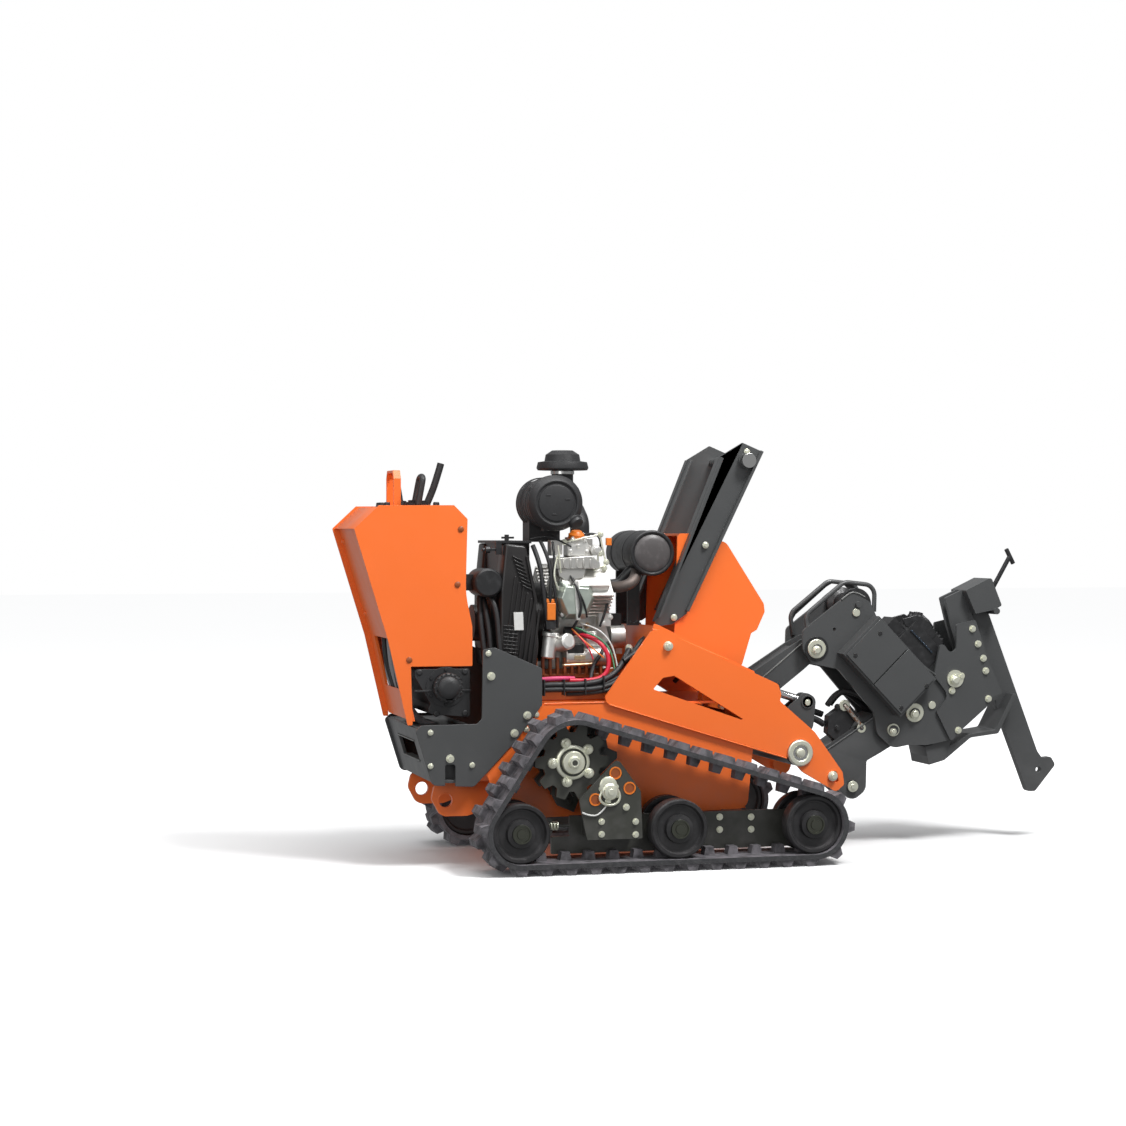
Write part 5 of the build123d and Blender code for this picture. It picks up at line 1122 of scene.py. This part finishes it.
class PLOW_OT_boom(bpy.types.Operator):
    """Makes the boom's bracket and shackle, the lift rod's pin end, and the link's edge bars in a lit grey, a
    painted highlight.
    """
    bl_idname = "plow.boom"
    bl_label = "Boom and link"

    def execute(self, context):
        bracket = bmesh.new()
        plate(bracket, [(906, 404), (968, 446), (1006, 404), (962, 344), (928, 330), (902, 352)], -50, 36)
        hexagon_bolt(bracket, spot(934, -50, 432), (0, -1, 0), 7, 10)
        hexagon_bolt(bracket, spot(934, -50, 366), (0, -1, 0), 7, 10)
        finished("shackle_bracket", bracket, "black", "boom", 0.0015)
        pipe("shackle", [(957, -54, 436), (963, -61, 430), (974, -61, 414), (996, -61, 388), (1008, -61, 372),
                         (1010, -58, 366)], 6.5, "rust", "boom")
        eye = bmesh.new()
        turned(eye, [(7, 0), (16, 0), (18, 3), (16, 6), (7, 6)], spot(957, -50, 436), (0, -1, 0), 32)
        turned(eye, [(7, 0), (14, 0), (15, 3), (14, 6), (7, 6)], spot(1008, -60, 366), (0, -1, 0), 32)
        finished("shackle_eyes", eye, "zinc", "boom", 0.0006)
        end = bmesh.new()
        turned(end, [(0, 0), (20, 0), (20, 3), (17, 5), (0, 5)], spot(788, -177, 459), (0, -1, 0), 36)
        turned(end, [(0, 0), (8, 0), (8, 6), (0, 7)], spot(786, -181, 456), (0, -1, 0), 24)
        for s in (-1, 1):
            turned(end, [(0, 0), (17, 0), (17, 4), (7, 5), (7, 9), (0, 9)], spot(977, s * 70, 188), (0, s, 0), 32)
        finished("boom_pin_ends", end, "zinc", "boom", 0.0006)
        for side, s in SIDES:
            pipe(f"boom_weld_{side}", [(893, s * 65, 301), (960, s * 65, 342), (1050, s * 65, 399)], 2.6,
                 "grey", "boom")
            # the link's welds take the lit grey, a painted highlight
            pipe(f"link_weld_highlight_{side}", [(676, s * 44, 512), (740, s * 44, 562), (830, s * 44, 636)], 2.4,
                 "lit_grey",
                 "upper_link")
        grease = bmesh.new()
        for body_point, way in (((854, -43, 640), (0, 0, 1)), ((700, 44, 552), (0, 1, 0))):
            turned(grease, [(0, 0), (5, 0), (5, 5), (3, 6), (3.4, 10), (0, 11)], spot(*body_point), way, 16)
        finished("grease_nipples", grease, "zinc", "upper_link")
        return {"FINISHED"}


class PLOW_OT_hoses(bpy.types.Operator):
    """Makes the hydraulic hoses to the plow, the lift cylinder and the vibrator."""
    bl_idname = "plow.hoses"
    bl_label = "Plow hoses"

    def execute(self, context):
        radius = context.scene.plow_sizes.hose / MM
        routes = (((583, 20, 442), (639, 23, 414), (696, 20, 393), (752, 23, 399), (808, 20, 414), (865, 23, 423),
                   (912, 20, 404)),
                  ((583, -20, 414), (639, -17, 387), (696, -20, 376), (752, -17, 380), (808, -20, 391),
                   (865, -17, 404),
                   (902, -20, 376)))
        whole = [bending_pipe(f"plow_hose_{k}", route, radius, "hose",
                              tuple(spot(660, 0, 395)), tuple(spot(830, 0, 415)))
                 for k, route in enumerate(routes)]
        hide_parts("plow_hoses")
        for name, route in (("vibrator_hose_a", ((930, 24, 432), (960, 34, 470), (1000, 40, 470), (1040, 44, 440),
                                                 (1068, 50, 420))),
                            ("vibrator_hose_b", ((926, -8, 436), (950, -12, 474), (990, -20, 480),
                                                 (1036, -30, 452)))):
            bending_pipe(name, route, 9, "hose",
                         tuple(spot(950, 0, 455)), tuple(spot(1030, 0, 455)))
        held = (
            ("lift_hose", [(552, -150, 574), (520, -150, 600), (470, -140, 592), (430, -110, 560),
                           (400, -80, 520)], 7,
             "chassis"),
            ("deck_hose_a", [(210, -186, 590), (260, -170, 620), (330, -140, 662), (400, -110, 640),
                             (470, -90, 560)], 8,
             "chassis"),
            ("deck_hose_b", [(200, -150, 560), (250, -150, 610), (300, -120, 668), (360, -90, 660)], 8, "chassis"),
        )
        for name, points, r, body in held:
            pipe(name, points, r, "hose", body)
        ends = bmesh.new()
        for x, y, z, way in ((583, 20, 442, (1, 0, -0.5)), (583, -20, 414, (1, 0, -0.5))):
            turned(ends, [(0, -6), (13, -6), (14, 2), (12, 22), (0, 22)], spot(x, y, z), way, 24)
        finished("hose_ends", ends, "zinc", "chassis", 0.0005)
        return {"FINISHED"}
LAMPS = (("key", (1.3, -2.8, 4.9), (-0.1, 0, 0.4), 1.6, 290.0),
         ("sky", (-1.2, -1.0, 4.6), (0, 0, 0.3), 4.0, 120.0),
         ("fill", (-4.0, -4.5, 2.2), (0, 0, 0.5), 3.0, 55.0))
FACETED = ("plow_hoses",)
SQUARE_EDGED = ("track_belt_left", "track_belt_right", "cylinder_heads")


# ---------------------------------------------------------------- CAD pieces and stage
class PLOW_OT_finishes(bpy.types.Operator):
    """Gives every CAD piece its finish and rounds the edges of its plates."""
    bl_idname = "plow.finishes"
    bl_label = "Finishes"

    def execute(self, context):
        edge = context.scene.plow_sizes.edge
        slots = {part["node"]: part["material_slot"] for part in frame["record"]["subparts"]}
        for name, piece in frame["nodes"].items():
            wanted = FINISH_OF_NODE.get(name) or FINISH_OF_SLOT.get(slots.get(name, ""), "grey")
            piece.data.materials.clear()
            piece.data.materials.append(finish(wanted))
            if name in FACETED:
                continue
            weld = piece.modifiers.new("joined triangles", "WELD")
            weld.merge_threshold = WELD
            flat = piece.modifiers.new("whole faces", "DECIMATE")
            flat.decimate_type = "DISSOLVE"
            flat.angle_limit = FLAT
            if name not in SQUARE_EDGED:
                round_edges(piece, edge)
        return {"FINISHED"}


class PLOW_OT_stage(bpy.types.Operator):
    """Makes the floor, the lights and the camera."""
    bl_idname = "plow.stage"
    bl_label = "Stage"

    def execute(self, context):
        scene = context.scene
        shape = bmesh.new()
        bmesh.ops.create_grid(shape, x_segments=1, y_segments=1, size=FLOOR_HALF)
        mesh = bpy.data.meshes.new("floor")
        shape.to_mesh(mesh)
        shape.free()
        floor = bpy.data.objects.new("floor", mesh)
        scene.collection.objects.link(floor)
        mesh.materials.append(finish("floor"))
        floor.visible_diffuse = False
        floor.visible_glossy = False
        scene.view_settings.view_transform = "Standard"
        world = bpy.data.worlds.new("studio")
        scene.world = world
        world.use_nodes = True
        nodes, links = world.node_tree.nodes, world.node_tree.links
        studio, backdrop = nodes["Background"], nodes.new("ShaderNodeBackground")
        studio.inputs["Color"].default_value = (0.98, 0.99, 1.0, 1.0)
        studio.inputs["Strength"].default_value = STUDIO_STRENGTH
        backdrop.inputs["Strength"].default_value = 1.0
        backdrop.inputs["Color"].default_value = (1.0, 1.0, 1.0, 1.0)
        seen, either = nodes.new("ShaderNodeLightPath"), nodes.new("ShaderNodeMixShader")
        links.new(seen.outputs["Is Camera Ray"], either.inputs[0])
        links.new(studio.outputs[0], either.inputs[1])
        links.new(backdrop.outputs[0], either.inputs[2])
        links.new(either.outputs[0], nodes["World Output"].inputs["Surface"])
        for name, where, aim, size, power in LAMPS:
            lamp = bpy.data.lights.new(name, "AREA")
            lamp.shape = "DISK"
            lamp.size = size
            lamp.energy = power
            holder = bpy.data.objects.new(name, lamp)
            holder.location = where
            holder.rotation_euler = (Vector(aim) - Vector(where)).to_track_quat("-Z", "Y").to_euler()
            scene.collection.objects.link(holder)
        camera = bpy.data.objects.new("camera", bpy.data.cameras.new("camera"))
        camera.data.sensor_width = 36.0
        camera.data.lens = scene.plow_sizes.lens
        camera.location = CAMERA_AT
        camera.rotation_euler = CAMERA_TURN
        scene.collection.objects.link(camera)
        scene.camera = camera
        return {"FINISHED"}


class PLOW_PT_panel(bpy.types.Panel):
    """Shows the plow's sizes and colours and a button for each step."""
    bl_idname = "PLOW_PT_panel"
    bl_label = "Tracked plow"
    bl_space_type = "VIEW_3D"
    bl_region_type = "UI"
    bl_category = "Plow"

    def draw(self, context):
        for settings in (context.scene.plow_sizes, context.scene.plow_paint):
            for key in settings.__annotations__:
                self.layout.prop(settings, key)
        for operator in STEPS:
            self.layout.operator(operator.bl_idname)


STEPS = (PLOW_OT_finishes, PLOW_OT_tower, PLOW_OT_tank, PLOW_OT_cowl, PLOW_OT_air_cleaner, PLOW_OT_engine,
         PLOW_OT_wiring, PLOW_OT_muffler, PLOW_OT_sprockets, PLOW_OT_undercarriage, PLOW_OT_fittings,
         PLOW_OT_plow, PLOW_OT_boom, PLOW_OT_hoses, PLOW_OT_stage)
CLASSES = (PlowPaint, PlowSizes, *STEPS, PLOW_PT_panel)


def register():
    for kind in CLASSES:
        bpy.utils.register_class(kind)
    bpy.types.Scene.plow_paint = bpy.props.PointerProperty(type=PlowPaint)
    bpy.types.Scene.plow_sizes = bpy.props.PointerProperty(type=PlowSizes)


def unregister():
    del bpy.types.Scene.plow_sizes
    del bpy.types.Scene.plow_paint
    for kind in reversed(CLASSES):
        bpy.utils.unregister_class(kind)


def main():
    register()
    for step in STEPS:
        group, name = step.bl_idname.split(".")
        getattr(getattr(bpy.ops, group), name)()
    bpy.context.view_layer.update()


if __name__ == "__main__":
    main()
